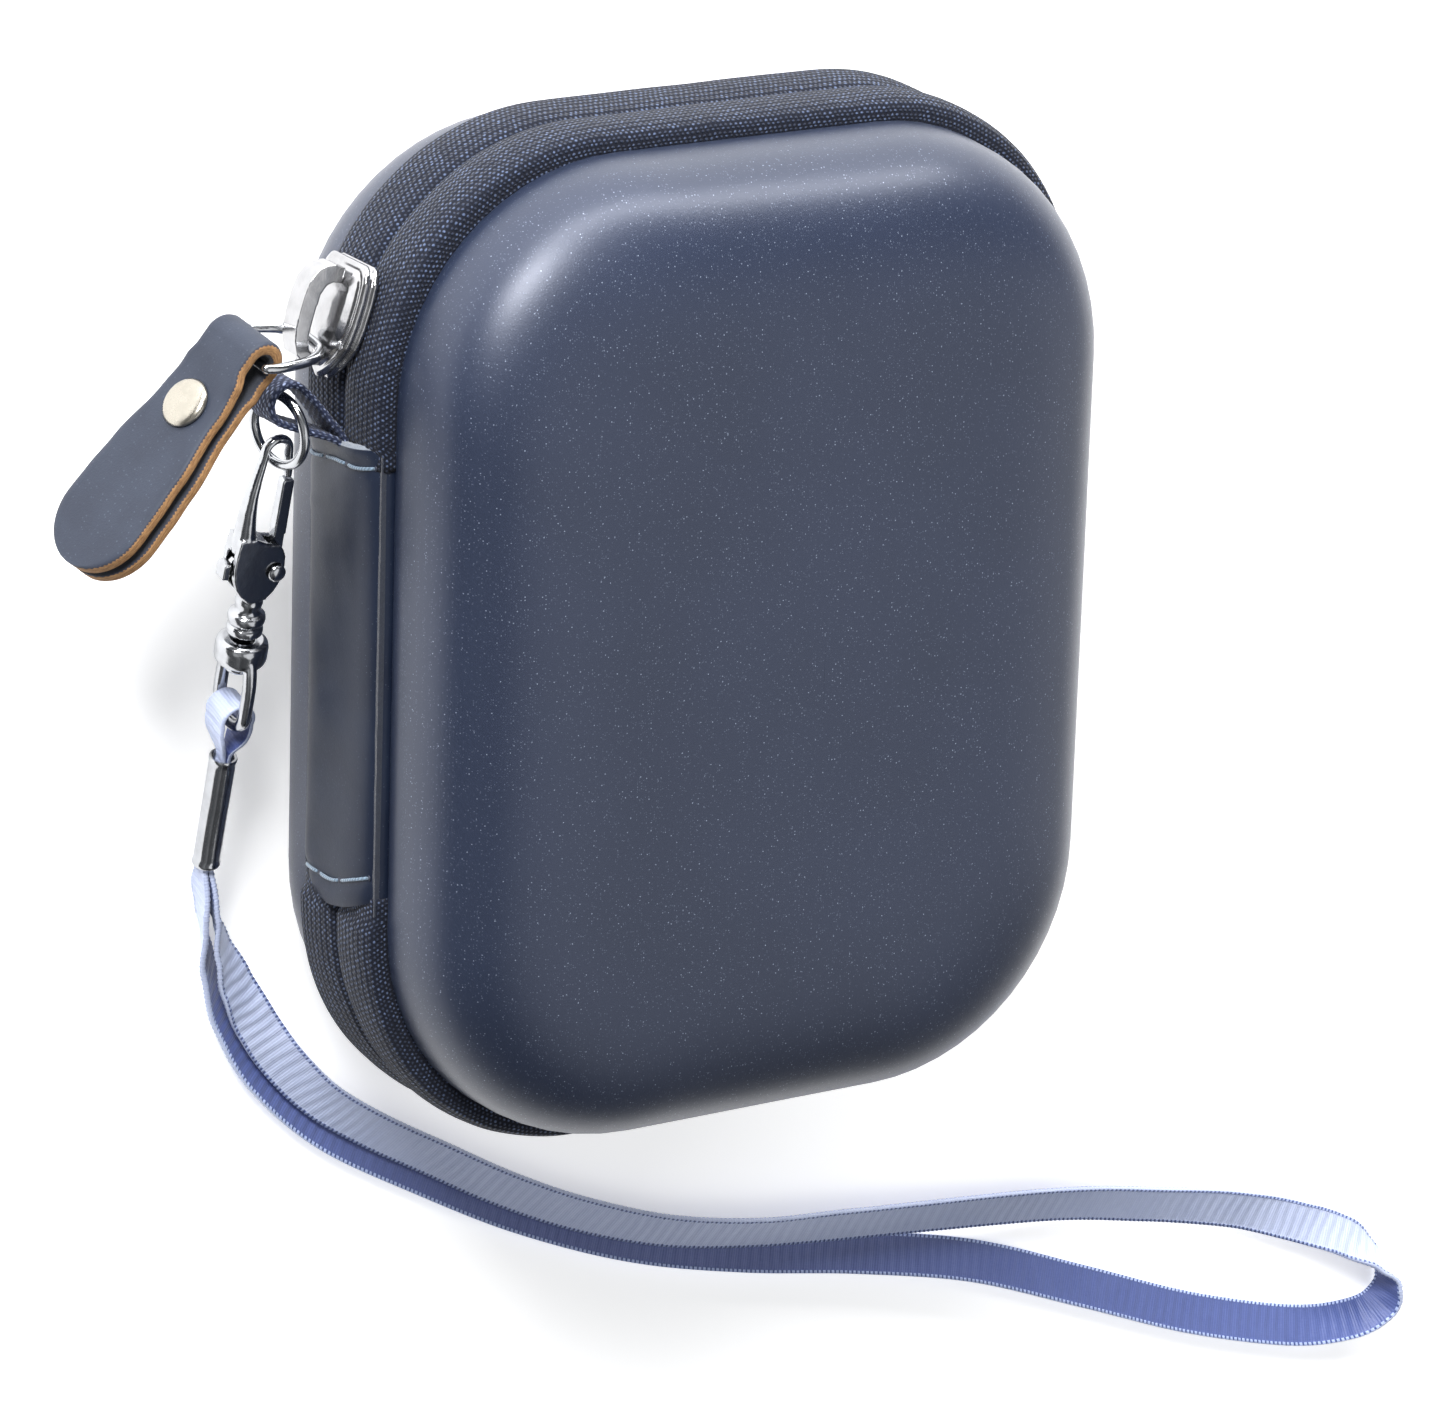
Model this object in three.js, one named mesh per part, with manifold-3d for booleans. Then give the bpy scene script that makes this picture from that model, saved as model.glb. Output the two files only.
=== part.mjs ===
// A small zippered hard case for wireless earbuds, lying on its back, with a wrist strap.
// Millimetres. The origin is the centre of the flat back face that the case lies on.
// +X points to the opening side, +Y to the top end of the case, +Z out of its front face.
import * as THREE from 'three';
import { mergeVertices } from 'three/addons/utils/BufferGeometryUtils.js';
import Module from 'manifold-3d';

const wasm = await Module();
wasm.setup();

// ---------------------------------------------------------------- driving dimensions
const CASE_WIDTH = 87;
const CASE_LENGTH = 112;
const CASE_DEPTH = 47;
const CORNER_RADIUS = 26.7;
const BAND_DEPTH = 16; // the zip and spine band between the two domes
const DOME_DEPTH = (CASE_DEPTH - BAND_DEPTH) / 2;
const DOME_STEP = 1.9; // how far a dome's rim is set in from the band
const DOME_RUN = 24; // inset over which the dome's wall turns into its flat face
const DOME_POWER = 3; // of the superellipse that the wall follows
const SHELL_THICKNESS = 1.8;
const LINING_THICKNESS = 0.8;
const GAP = 0.3; // clearance between neighbouring pieces
const SEAM_HALF = 0.5; // half of the slot between the two rows of the zip

const SEAM_Z = CASE_DEPTH / 2;
const BAND_BOTTOM = DOME_DEPTH;
const BAND_TOP = CASE_DEPTH - DOME_DEPTH;
const HALF_WIDTH = CASE_WIDTH / 2;
const HALF_LENGTH = CASE_LENGTH / 2;
const CORNER_X = HALF_WIDTH - CORNER_RADIUS;
const CORNER_Y = HALF_LENGTH - CORNER_RADIUS;

const TAPE_THICKNESS = 1.2;
const TAPE_BULGE = 0.55;
const SPINE_TOP = 24;
const SPINE_BOTTOM = -26.8;
const TAPE_END_GAP = 1.3; // room for the webbing tab between the spine and the tape's end

const SLIDER_ANGLE = THREE.MathUtils.degToRad(16.4); // place of the parked slider on its corner
const SLIDER_LENGTH = 12.8;
const PULL_LENGTH = 28.2;
const PULL_LAYER = 1.5;
const PULL_GAP = 0.25; // half of the gap between the two layers
const PULL_HALF_WIDTH = 6;

const RIBBON_WIDTH = 5;
const RIBBON_THICKNESS = 0.5;
const FERRULE_RADIUS = 1.55;
const FERRULE_LENGTH = 14.2;
const FERRULE_START = 41.3; // distance from the top of the clasp's hook

// ---------------------------------------------------------------- materials
const material = (color, roughness, metalness) =>
  new THREE.MeshStandardMaterial({ color, roughness, metalness });
const leather = material(0x424c66, 0.55, 0);
const wovenTape = material(0x2d3446, 0.9, 0);
const lining = material(0x20242e, 0.95, 0);
const nylon = material(0x262c3a, 0.6, 0);
const mesh = material(0x15181f, 0.9, 0);
const nickel = material(0xd4d4d6, 0.15, 1);
const warmNickel = material(0xd9d2c0, 0.25, 1);
const satin = material(0x7d8fc4, 0.5, 0);

// ---------------------------------------------------------------- geometry helpers
const vec = (x, y, z) => new THREE.Vector3(x, y, z);

// Closed surface from triangles, turned so that its faces point out.
function closedGeometry(positions, triangles) {
  const geometry = new THREE.BufferGeometry();
  geometry.setAttribute('position', new THREE.Float32BufferAttribute(positions, 3));
  let volume = 0;
  const corner = (i) => vec(positions[3 * i], positions[3 * i + 1], positions[3 * i + 2]);
  for (const [a, b, c] of triangles) {
    volume += corner(a).dot(corner(b).cross(corner(c)));
  }
  const outward = volume > 0 ? triangles : triangles.map(([a, b, c]) => [a, c, b]);
  geometry.setIndex(outward.flat());
  return geometry;
}

// Skin through rings of equal point counts, capped at both ends unless it is a closed loop.
function loft(rings, isLoop = false) {
  const count = rings[0].length;
  const positions = rings.flat().flatMap((p) => [p.x, p.y, p.z]);
  const triangles = [];
  const spans = isLoop ? rings.length : rings.length - 1;
  for (let i = 0; i < spans; i += 1) {
    const next = (i + 1) % rings.length;
    for (let j = 0; j < count; j += 1) {
      const k = (j + 1) % count;
      triangles.push([i * count + j, i * count + k, next * count + k]);
      triangles.push([i * count + j, next * count + k, next * count + j]);
    }
  }
  if (!isLoop) {
    for (const [ring, flip] of [[0, true], [rings.length - 1, false]]) {
      const centre = rings[ring].reduce((sum, p) => sum.add(p), vec(0, 0, 0));
      centre.divideScalar(count);
      const hub = positions.length / 3;
      positions.push(centre.x, centre.y, centre.z);
      for (let j = 0; j < count; j += 1) {
        const here = ring * count + j;
        const there = ring * count + ((j + 1) % count);
        triangles.push(flip ? [hub, there, here] : [hub, here, there]);
      }
    }
  }
  return closedGeometry(positions, triangles);
}

function toManifold(geometry) {
  const bare = geometry.clone();
  bare.deleteAttribute('normal');
  bare.deleteAttribute('uv');
  const merged = mergeVertices(bare, 1e-4);
  return new wasm.Manifold(new wasm.Mesh({
    numProp: 3,
    vertProperties: new Float32Array(merged.attributes.position.array),
    triVerts: new Uint32Array(merged.index.array),
  }));
}

function fromManifold(solid) {
  const result = solid.getMesh();
  const geometry = new THREE.BufferGeometry();
  geometry.setAttribute('position', new THREE.Float32BufferAttribute(result.vertProperties, 3));
  geometry.setIndex(Array.from(result.triVerts));
  return geometry;
}

const unite = (...parts) => fromManifold(parts.map(toManifold).reduce((a, b) => a.add(b)));
const cut = (body, ...tools) =>
  fromManifold(tools.map(toManifold).reduce((a, b) => a.subtract(b), toManifold(body)));
const common = (a, b) => fromManifold(toManifold(a).intersect(toManifold(b)));

function box(width, height, depth, x, y, z) {
  return new THREE.BoxGeometry(width, height, depth).translate(x, y, z);
}

// Points as a counter-clockwise polygon.
function polygon(pairs) {
  const points = pairs.map(([x, y]) => new THREE.Vector2(x, y));
  return THREE.ShapeUtils.area(points) < 0 ? points.reverse() : points;
}

// Round piece about the Y axis from [radius, y] pairs that start and end on the axis or close.
function turned(profile, segments = 20) {
  return new THREE.LatheGeometry(polygon(profile), segments);
}

function plate(outline, depth, holes = []) {
  const shape = new THREE.Shape(polygon(outline));
  shape.holes = holes.map((hole) => new THREE.Path(polygon(hole)));
  return new THREE.ExtrudeGeometry(shape, { depth, bevelEnabled: false });
}

function arcPoints(cx, cy, radius, fromDeg, toDeg, steps) {
  return Array.from({ length: steps + 1 }, (_, i) => {
    const angle = THREE.MathUtils.degToRad(fromDeg + ((toDeg - fromDeg) * i) / steps);
    return [cx + radius * Math.cos(angle), cy + radius * Math.sin(angle)];
  });
}

// ---------------------------------------------------------------- the case's outline
const CORNERS = [[-1, 1, 180], [1, 1, 90], [1, -1, 0], [-1, -1, -90]];

// Points of the outline at an inset, clockwise from the left side, each with its outward normal.
function outline(inset, steps, shrink = 1) {
  const radius = CORNER_RADIUS - inset * shrink;
  const points = [];
  for (const [sx, sy, start] of CORNERS) {
    for (let i = 0; i <= steps; i += 1) {
      const angle = THREE.MathUtils.degToRad(start - (90 * i) / steps);
      const [nx, ny] = [Math.cos(angle), Math.sin(angle)];
      const cx = sx * (HALF_WIDTH - inset - radius);
      const cy = sy * (HALF_LENGTH - inset - radius);
      points.push({ x: cx + radius * nx, y: cy + radius * ny, nx, ny });
    }
  }
  return points;
}

const CORNER_SHRINK = 0.6; // the dome's corners stay rounder than a true offset

function outlineRing(inset, z, steps) {
  return outline(inset, steps, CORNER_SHRINK).map((p) => vec(p.x, p.y, z));
}

// Rings of a dome's surface, set in from the shell's outer face, from the rim to the crown.
function domeRings(offset, cornerSteps, wallSteps) {
  const exponent = 2 / DOME_POWER;
  const run = DOME_RUN - offset * 0.3;
  const rise = DOME_DEPTH - offset;
  const rings = [];
  for (let i = 0; i <= wallSteps; i += 1) {
    const angle = (Math.PI / 2) * (i / wallSteps);
    const inset = DOME_STEP + offset + run * (1 - Math.max(Math.cos(angle), 0) ** exponent);
    const height = rise * Math.sin(angle) ** exponent;
    rings.push(outlineRing(inset, BAND_BOTTOM - height, cornerSteps));
  }
  return rings;
}

function domedShell(offset, thickness, cornerSteps, wallSteps) {
  const outer = domeRings(offset, cornerSteps, wallSteps);
  const inner = domeRings(offset + thickness, cornerSteps, wallSteps);
  return loft([...inner.reverse(), ...outer]);
}

// The other half of the case: the same piece mirrored in the plane of the seam.
function mirrored(geometry) {
  const flipped = geometry.clone();
  flipped.scale(1, 1, -1);
  flipped.translate(0, 0, CASE_DEPTH);
  const index = flipped.index.array;
  for (let i = 0; i < index.length; i += 3) {
    [index[i + 1], index[i + 2]] = [index[i + 2], index[i + 1]];
  }
  return flipped;
}

// Strip that follows the three zipped sides, from one end of the spine round to the other.
// The section is a list of [inset, z] points.
function zippedStrip(section, cornerSteps) {
  const left = { x: -HALF_WIDTH, nx: -1, ny: 0 };
  const stations = [
    { ...left, y: SPINE_TOP + TAPE_END_GAP },
    ...outline(0, cornerSteps),
    { ...left, y: SPINE_BOTTOM - GAP },
  ];
  return loft(stations.map((s) => section.map(([inset, z]) =>
    vec(s.x - s.nx * inset, s.y - s.ny * inset, z))));
}

// ---------------------------------------------------------------- shells, tapes and spine
const shellGeometry = domedShell(0, SHELL_THICKNESS, 9, 9);
const liningGeometry = domedShell(SHELL_THICKNESS + GAP, LINING_THICKNESS, 6, 6);

function tapeGeometry() {
  const [low, high] = [BAND_BOTTOM + GAP, SEAM_Z - SEAM_HALF];
  const section = [[TAPE_THICKNESS, high], [TAPE_THICKNESS, low]];
  const steps = 4;
  for (let i = 0; i <= steps; i += 1) {
    const share = i / steps;
    section.push([-TAPE_BULGE * Math.sin(Math.PI * share), low + (high - low) * share]);
  }
  return zippedStrip(section, 9);
}

function coilGeometry() {
  const [low, high] = [SEAM_Z - 2.3, SEAM_Z - 0.6];
  const [near, far] = [TAPE_THICKNESS + GAP, TAPE_THICKNESS + 1.5];
  const bevel = 0.4;
  return zippedStrip([
    [near, low + bevel], [near, high - bevel], [near + bevel, high],
    [far - bevel, high], [far, high - bevel], [far, low + bevel],
    [far - bevel, low], [near + bevel, low],
  ], 9);
}

function bindingGeometry() {
  const [low, high] = [BAND_BOTTOM + 0.5, BAND_BOTTOM + 2.9];
  const [near, far] = [TAPE_THICKNESS + 0.4, TAPE_THICKNESS + 1.4];
  return zippedStrip([[near, low], [near, high], [far, high], [far, low]], 9);
}

// A strip along the spine: outer and inner faces as insets at the edge and at the middle.
function spineStrip(outerEdge, outerMiddle, thickness) {
  const [low, high] = [BAND_BOTTOM + 0.2, BAND_TOP - 0.2];
  const steps = 6;
  const face = (extra) => Array.from({ length: steps + 1 }, (_, i) => {
    const bow = Math.sin((Math.PI * i) / steps) ** 0.7;
    return [outerEdge + (outerMiddle - outerEdge) * bow + extra, low + ((high - low) * i) / steps];
  });
  const section = [...face(0), ...face(thickness).reverse()];
  const ends = [SPINE_BOTTOM, SPINE_TOP];
  return loft(ends.map((y) => section.map(([inset, z]) => vec(-HALF_WIDTH + inset, y, z))));
}

// ---------------------------------------------------------------- slider
// The slider's own frame: X out of the case, Y towards the spine, Z towards the front face.
const sliderFrame = new THREE.Group();
sliderFrame.position.set(
  -CORNER_X - CORNER_RADIUS * Math.cos(SLIDER_ANGLE),
  CORNER_Y + CORNER_RADIUS * Math.sin(SLIDER_ANGLE),
  SEAM_Z,
);
sliderFrame.rotation.z = Math.PI - SLIDER_ANGLE;

const SLIDER_TOP = 3.6; // crown of the outer plate
const EYELET = vec(4.25, 2.9, 0); // where the pull ring passes under the bridge

// Half outline of the shield-shaped plate as [y, half width].
const SHIELD = [[-0.5, 0.28], [-0.46, 0.3], [-0.36, 0.37], [0, 0.36], [0.2, 0.31], [0.39, 0.17],
  [0.5, 0.03]];

function shieldRing(x, scale, shift) {
  const right = SHIELD.map(([y, z]) => vec(x, y * scale * SLIDER_LENGTH + shift, z * scale * SLIDER_LENGTH));
  const left = [...right].reverse().map((p) => vec(p.x, p.y, -p.z));
  return [...right, ...left];
}

function sliderBody() {
  const outerPlate = loft([
    shieldRing(0.85, 1, 0), shieldRing(2.1, 1, 0), shieldRing(2.9, 0.84, -0.2),
    shieldRing(3.3, 0.55, -0.4), shieldRing(SLIDER_TOP, 0.3, -0.5),
  ]);
  const innerPlate = plate([[-4.4, -3], [-3, -4.1], [3, -4.1], [4.4, -3], [4.4, 3], [3, 4.1],
    [-3, 4.1], [-4.4, 3]], 1.2);
  innerPlate.rotateX(Math.PI / 2).rotateZ(Math.PI / 2).translate(-4.6, 0, 0);
  const neck = box(5, 3.2, 0.5, -1.4, -4, 0);
  return unite(outerPlate, neck, innerPlate);
}

function sliderBridge() {
  const halfWidth = 1.5;
  const arch = plate([
    [3.4, -5.6], [5.2, -5.5], [6.7, -4.4], [7.3, -2], [7.3, 1.5], [6.7, 3.9], [5.3, 5], [3.5, 5.1],
    [3.5, 4], [4.6, 4], [5.4, 3.2], [5.5, 0], [5.4, -2.6], [4.7, -3.5], [3.5, -3.7],
  ], 2 * halfWidth);
  return arch.translate(0, 0, -halfWidth);
}

// ---------------------------------------------------------------- pull ring and pull strap
// The ring's bars and the strap's folded edge run along PULL_AXIS.
const PULL_AXIS = vec(0.14, -0.22, 0.965).normalize();
const RING_WIRE = 0.55;
const RING_REACH = 8.9;

// A group whose X axis follows a direction and whose Z axis is the given one.
function framed(origin, along, zAxis) {
  const group = new THREE.Group();
  const z = zAxis.clone().normalize();
  const x = along.clone().addScaledVector(z, -along.dot(z)).normalize();
  const y = z.clone().cross(x);
  group.position.copy(origin);
  group.quaternion.setFromRotationMatrix(new THREE.Matrix4().makeBasis(x, y, z));
  return group;
}

sliderFrame.updateMatrixWorld(true);
const eyeletPoint = EYELET.clone().applyMatrix4(sliderFrame.matrixWorld);
const ringFrame = framed(eyeletPoint, vec(-8.79, 0.22, 1.41), PULL_AXIS);
ringFrame.updateMatrixWorld(true);
const barPoint = vec(RING_REACH, 0, 0).applyMatrix4(ringFrame.matrixWorld);
const pullFrame = framed(barPoint, vec(-0.631, -0.774, -0.057), PULL_AXIS);

function closedTube(points, radius, steps, sides) {
  const path = new THREE.CatmullRomCurve3(points, true, 'centripetal');
  return new THREE.TubeGeometry(path, steps, radius, sides, true);
}

function pullRing() {
  const side = [[0, 1.3], [0.7, 2.6], [2.8, 3.9], [6.4, 4.5], [8.5, 4.3], [RING_REACH, 3.5]];
  const points = [...side, ...side.map(([x, z]) => [x, -z]).reverse()];
  return closedTube(points.map(([x, z]) => vec(x, 0, z)), RING_WIRE, 36, 8);
}

const RIVET_PLACE = 7.8;
const PULL_FACE = PULL_GAP + PULL_LAYER;

function pullStrap() {
  const loopOuter = 2.65;
  const loopInner = loopOuter - PULL_LAYER;
  const outer = [
    [PULL_LENGTH, -PULL_FACE], [6.4, -PULL_FACE], [4.4, -1.95], [2, -2.5],
    ...arcPoints(0, 0, loopOuter, -80, -280, 9),
    [2, 2.5], [4.4, 1.95], [6.4, PULL_FACE], [PULL_LENGTH, PULL_FACE],
  ];
  const inner = [
    [PULL_LENGTH, PULL_GAP], [6.4, PULL_GAP], [4.4, 0.45], [2, 1],
    ...arcPoints(0, 0, loopInner, 80, 280, 7),
    [2, -1], [4.4, -0.45], [6.4, -PULL_GAP], [PULL_LENGTH, -PULL_GAP],
  ];
  const folded = plate([...outer, ...inner], 2 * PULL_HALF_WIDTH).translate(0, 0, -PULL_HALF_WIDTH);
  const side = [[-3, 3.6], [1.6, 3.6], [3.6, 4.2], [RIVET_PLACE, 4.6], [15, 5.6], [19, 5.9]];
  const end = arcPoints(PULL_LENGTH - PULL_HALF_WIDTH, 0, PULL_HALF_WIDTH, 90, -90, 12);
  const plan = plate([...side, ...end, ...side.map(([x, z]) => [x, -z]).reverse()], 8);
  plan.translate(0, 0, -4).rotateX(Math.PI / 2);
  const rivetHole = new THREE.CylinderGeometry(1.35, 1.35, 8, 16).translate(RIVET_PLACE, 0, 0);
  return cut(common(folded, plan), rivetHole);
}

function rivetCap() {
  const rim = -PULL_FACE - GAP;
  return turned([[0, rim], [2.5, rim], [2.8, rim - 0.25], [2.5, rim - 0.6], [1.6, rim - 0.9],
    [0, rim - 1]]).translate(RIVET_PLACE, 0, 0);
}

function rivetPost() {
  const seat = PULL_FACE + GAP;
  const tip = -PULL_FACE;
  return turned([[0, seat + 0.7], [2, seat + 0.65], [2.6, seat + 0.3], [2.6, seat], [1, seat],
    [1, tip], [0, tip]]).translate(RIVET_PLACE, 0, 0);
}

// ---------------------------------------------------------------- webbing tab and its ring
const TAB_CENTRE = [-50.4, 29];
const TAB_HALF_WIDTH = 2.4;
const TAB_MIDDLE_Z = 22.7;
const TAB_THICKNESS = 0.7;
const TAB_RADIUS = 2.5;
const tabRingTop = vec(-50.3, 29.39, 23.49);
const tabRingBottom = vec(-50.3, 22, 21.33);
const TAB_RING_TILT = vec(0.26, 0, 0.966); // way that the ring runs through the loop

function webbingTab() {
  const [cx, cy] = TAB_CENTRE;
  const inner = TAB_RADIUS - TAB_THICKNESS;
  const outerLoop = [
    [-43.2, 20.5], [-43.2, 25], [-44.6, 25.2],
    ...arcPoints(cx, cy, TAB_RADIUS, 36, 250, 12),
    [-44.9, 24.35], [-43.8, 24.3], [-43.8, 20.5],
  ];
  const eye = [[-46.4, 25.75], ...arcPoints(cx, cy, inner, 32, 250, 10)];
  const height = 2 * TAB_HALF_WIDTH;
  return plate(outerLoop, height, [eye]).translate(0, 0, TAB_MIDDLE_Z - TAB_HALF_WIDTH);
}

function tabRing() {
  const across = tabRingBottom.clone().sub(tabRingTop);
  const group = framed(tabRingTop.clone().addScaledVector(across, 0.5),
    across, across.clone().cross(TAB_RING_TILT));
  return { group, geometry: new THREE.TorusGeometry(across.length() / 2, 0.55, 8, 28) };
}

// ---------------------------------------------------------------- clasp
// The clasp's own frame: Y up along the clasp to the top of its hook, Z out of its flat face.
const HOOK_WIRE = [0.3, -3.7]; // where the ring's wire passes through the hook
const claspAxis = vec(-0.0145, 0.9561, 0.2928).normalize();
const claspAcross = vec(1, 0.0152, 0).normalize();
const hookTop = tabRingBottom.clone().addScaledVector(claspAxis, -HOOK_WIRE[1])
  .addScaledVector(claspAcross, -HOOK_WIRE[0]);
const CLASP_HALF_THICKNESS = 1.45;
const SLOT_HALF = 0.75;
const PIN = [1.8, -17];

function claspFrame() {
  const z = vec(0, 0, 1).addScaledVector(claspAxis, -claspAxis.z).normalize();
  return framed(hookTop, claspAxis.clone().cross(z), z);
}

// Outline of the flat hook; its edges are straight from point to point.
function claspBody() {
  const silhouette = [
    [-0.9, -20.6], [-2, -19.5], [-3.1, -17.4], [-3.1, -14.6], [-2.85, -11.5], [-2.5, -8.8],
    [-1.85, -5], ...arcPoints(0.48, -2.35, 1.8, 195, 0, 10), [2.5, -4.2], [2.6, -5.8], [1.75, -5.8],
    [1.5, -4.2], ...arcPoints(0.48, -2.35, 0.95, -10, 190, 8), [-0.72, -4.2], [-1.1, -7.8],
    [-0.75, -11], [-0.2, -13.4], [2.05, -13.7], [2.7, -15], [2.85, -16.6], [2.4, -18.6],
    [1.2, -20.4],
  ];
  const thick = 2 * CLASP_HALF_THICKNESS;
  const flat = plate(silhouette, thick).translate(0, 0, -CLASP_HALF_THICKNESS);
  const profile = [[1, 0.65], [-4.5, 0.65], [-9, 1.1], [-13.4, CLASP_HALF_THICKNESS], [-22, 1.5]];
  const taper = plate([...profile, ...profile.map(([y, z]) => [y, -z]).reverse()], 12);
  taper.rotateX(Math.PI / 2).rotateZ(Math.PI / 2).translate(-6, 0, 0);
  const slot = box(12, 5, 2 * SLOT_HALF, 0, -16.6, 0);
  const gateRoom = box(4, 2.2, 2 * SLOT_HALF, 2.1, -14, 0);
  const pinHole = new THREE.CylinderGeometry(0.8, 0.8, 8, 14);
  pinHole.rotateX(Math.PI / 2).translate(PIN[0], PIN[1], 0);
  const post = turned([[0, -19.9], [1.35, -20.2], [1.6, -21.3], [1.45, -22], [2, -22.7],
    [2.05, -23.7], [1.8, -24], [2, -24.3], [1.95, -25.2], [1, -25.6], [1, -29.1], [1.65, -29.2],
    [1.65, -29.8], [0, -30.1]]);
  return unite(cut(common(flat, taper), slot, gateRoom, pinHole), post);
}

function claspGate() {
  const bar = plate([[1.5, -6.05], [2.8, -6.05], [2.8, -13.2], [1.4, -13.2]], 1.3);
  bar.translate(0, 0, -0.65);
  const blade = plate([[1.4, -13], [2.75, -13], [2.9, -15.5], [2.7, -17.4], [1.8, -18.3],
    [0, -17.6], [-3.4, -17.5], [-3.6, -16.3], [-2.8, -15.3], [1.2, -14.9]], 0.7);
  blade.translate(0, 0, -0.35);
  const thumb = box(0.8, 1.8, 1.7, -3.75, -16.6, 0);
  const pinHole = new THREE.CylinderGeometry(0.8, 0.8, 8, 14);
  pinHole.rotateX(Math.PI / 2).translate(PIN[0], PIN[1], 0);
  return cut(unite(bar, blade, thumb), pinHole);
}

function gatePin() {
  const [head, foot] = [2.25, CLASP_HALF_THICKNESS + GAP];
  const profile = [[0, -head], [0.85, -head], [1.05, -foot], [0.5, -foot], [0.5, foot],
    [1.05, foot], [0.85, head], [0, head]];
  return turned(profile, 16).rotateX(Math.PI / 2).translate(PIN[0], PIN[1], 0);
}

function gateSpring() {
  return new THREE.TorusGeometry(1.05, 0.11, 8, 20).translate(PIN[0], PIN[1], 0.55);
}

// ---------------------------------------------------------------- swivel, neck loop and ferrule
const EYE_BAR_Y = -36.6;
const EYE_HALF_WIDTH = 2.9;
const EYE_WIRE = 0.75;

function swivelEye() {
  const yoke = turned([[0, -25.9], [2.4, -25.9], [2.85, -26.6], [2.85, -28.2], [2.3, -28.9],
    [0, -28.9]], 24);
  const bore = new THREE.CylinderGeometry(1.3, 1.3, 8, 18).translate(0, -27.4, 0);
  const bend = arcPoints(0, EYE_BAR_Y + EYE_HALF_WIDTH - 0.6, EYE_HALF_WIDTH - 0.6, 180, 360, 6);
  const path = new THREE.CatmullRomCurve3([
    vec(0, -27.6, -2.05), vec(0, -30.2, -EYE_HALF_WIDTH),
    ...bend.map(([z, y]) => vec(0, y, z * (EYE_HALF_WIDTH / (EYE_HALF_WIDTH - 0.6)))),
    vec(0, -30.2, EYE_HALF_WIDTH), vec(0, -27.6, 2.05),
  ], false, 'centripetal');
  const section = new THREE.Shape(arcPoints(0, 0, EYE_WIRE, 0, 315, 7)
    .map(([x, y]) => new THREE.Vector2(x, y)));
  const bail = new THREE.ExtrudeGeometry(section, { steps: 26, extrudePath: path });
  return unite(cut(yoke, bore), bail);
}

function neckLoop() {
  const halfWidth = 1.9;
  const [top, inner, ribbon] = [-35.7, 1.45, 0.55];
  const outer = inner + ribbon;
  const [mouth, tail] = [-FERRULE_START, -FERRULE_START - 3];
  const loop = plate([
    ...arcPoints(0, top, outer, 200, -20, 12), [1.75, -38], [0.6, mouth + 0.4], [0.4, mouth],
    [0.4, tail], [-0.4, tail], [-0.4, mouth], [-0.6, mouth + 0.4], [-1.75, -38],
  ], 2 * halfWidth, [[
    ...arcPoints(0, top, inner, 200, -20, 10), [1.2, -37.9], [0.12, mouth + 0.9],
    [-0.12, mouth + 0.9], [-1.2, -37.9],
  ]]).translate(0, 0, -halfWidth);
  const reach = box(8, 8, 2 * halfWidth, 0, -37, 0);
  const stem = box(8, 8, 1.5, 0, -42, 0);
  return common(loop, unite(reach, stem));
}

function ferrule() {
  const [start, end] = [-FERRULE_START, -FERRULE_START - FERRULE_LENGTH];
  const bore = FERRULE_RADIUS - 0.4;
  const ring = [[bore, start], [FERRULE_RADIUS, start], [FERRULE_RADIUS, end], [bore, end],
    [bore, start]];
  return turned(ring, 24);
}

// ---------------------------------------------------------------- wrist strap
// Route of the ribbon's middle from the ferrule round the loop and back: x, y, z, and the turn of
// its outer face about its length in degrees: 0 faces up, 90 faces left of its run.
const STRAP_ROUTE = [
  [-49.57, -25.3, 6.83, 90], [-49.45, -29, 5.7, 90], [-48.2, -33.5, 4.6, 75], [-46.6, -38.5, 3.9, 50],
  [-44.6, -43.2, 3.4, 25], [-41.8, -48.5, 3, 0], [-38.2, -53.8, 2.9, -18], [-33.2, -59.2, 2.9, -28],
  [-26.5, -64, 2.9, -30], [-18.5, -68.8, 2.9, -30], [-9.5, -74.1, 2.9, -30], [0.5, -79, 2.9, -30],
  [12, -83.2, 2.9, -32], [24, -85.7, 2.9, -34], [37, -87.2, 2.6, -29],
  [66, -90.4, 1.7, -25], [81, -93.1, 1.7, -22], [93.5, -96, 1.7, -15], [102.5, -99.2, 1.8, 0],
  [110, -102.5, 2.2, 25], [114.6, -105.8, 2.8, 60], [116.6, -109.2, 3, 90], [115.6, -112.3, 2.7, 120],
  [111.5, -113.9, 1.9, 145], [103, -113.2, 1.4, 158], [88, -108.7, 1.3, 160], [72, -102.2, 1.3, 160],
  [56, -95.9, 1.2, 162], [40, -91.9, 1, 166], [24, -88.7, 0.95, 168], [9, -84.6, 0.95, 168],
  [-6, -78.3, 0.95, 168], [-19.5, -70.9, 0.95, 168], [-31.5, -63.5, 1, 166], [-40, -55.3, 1.3, 160],
  [-44.8, -47.6, 1.7, 150], [-47.7, -40.6, 2.6, 130], [-49.2, -34.6, 4.1, 108],
  [-50.13, -29.3, 5.6, 92], [-50.17, -25.3, 6.83, 90],
];

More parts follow.
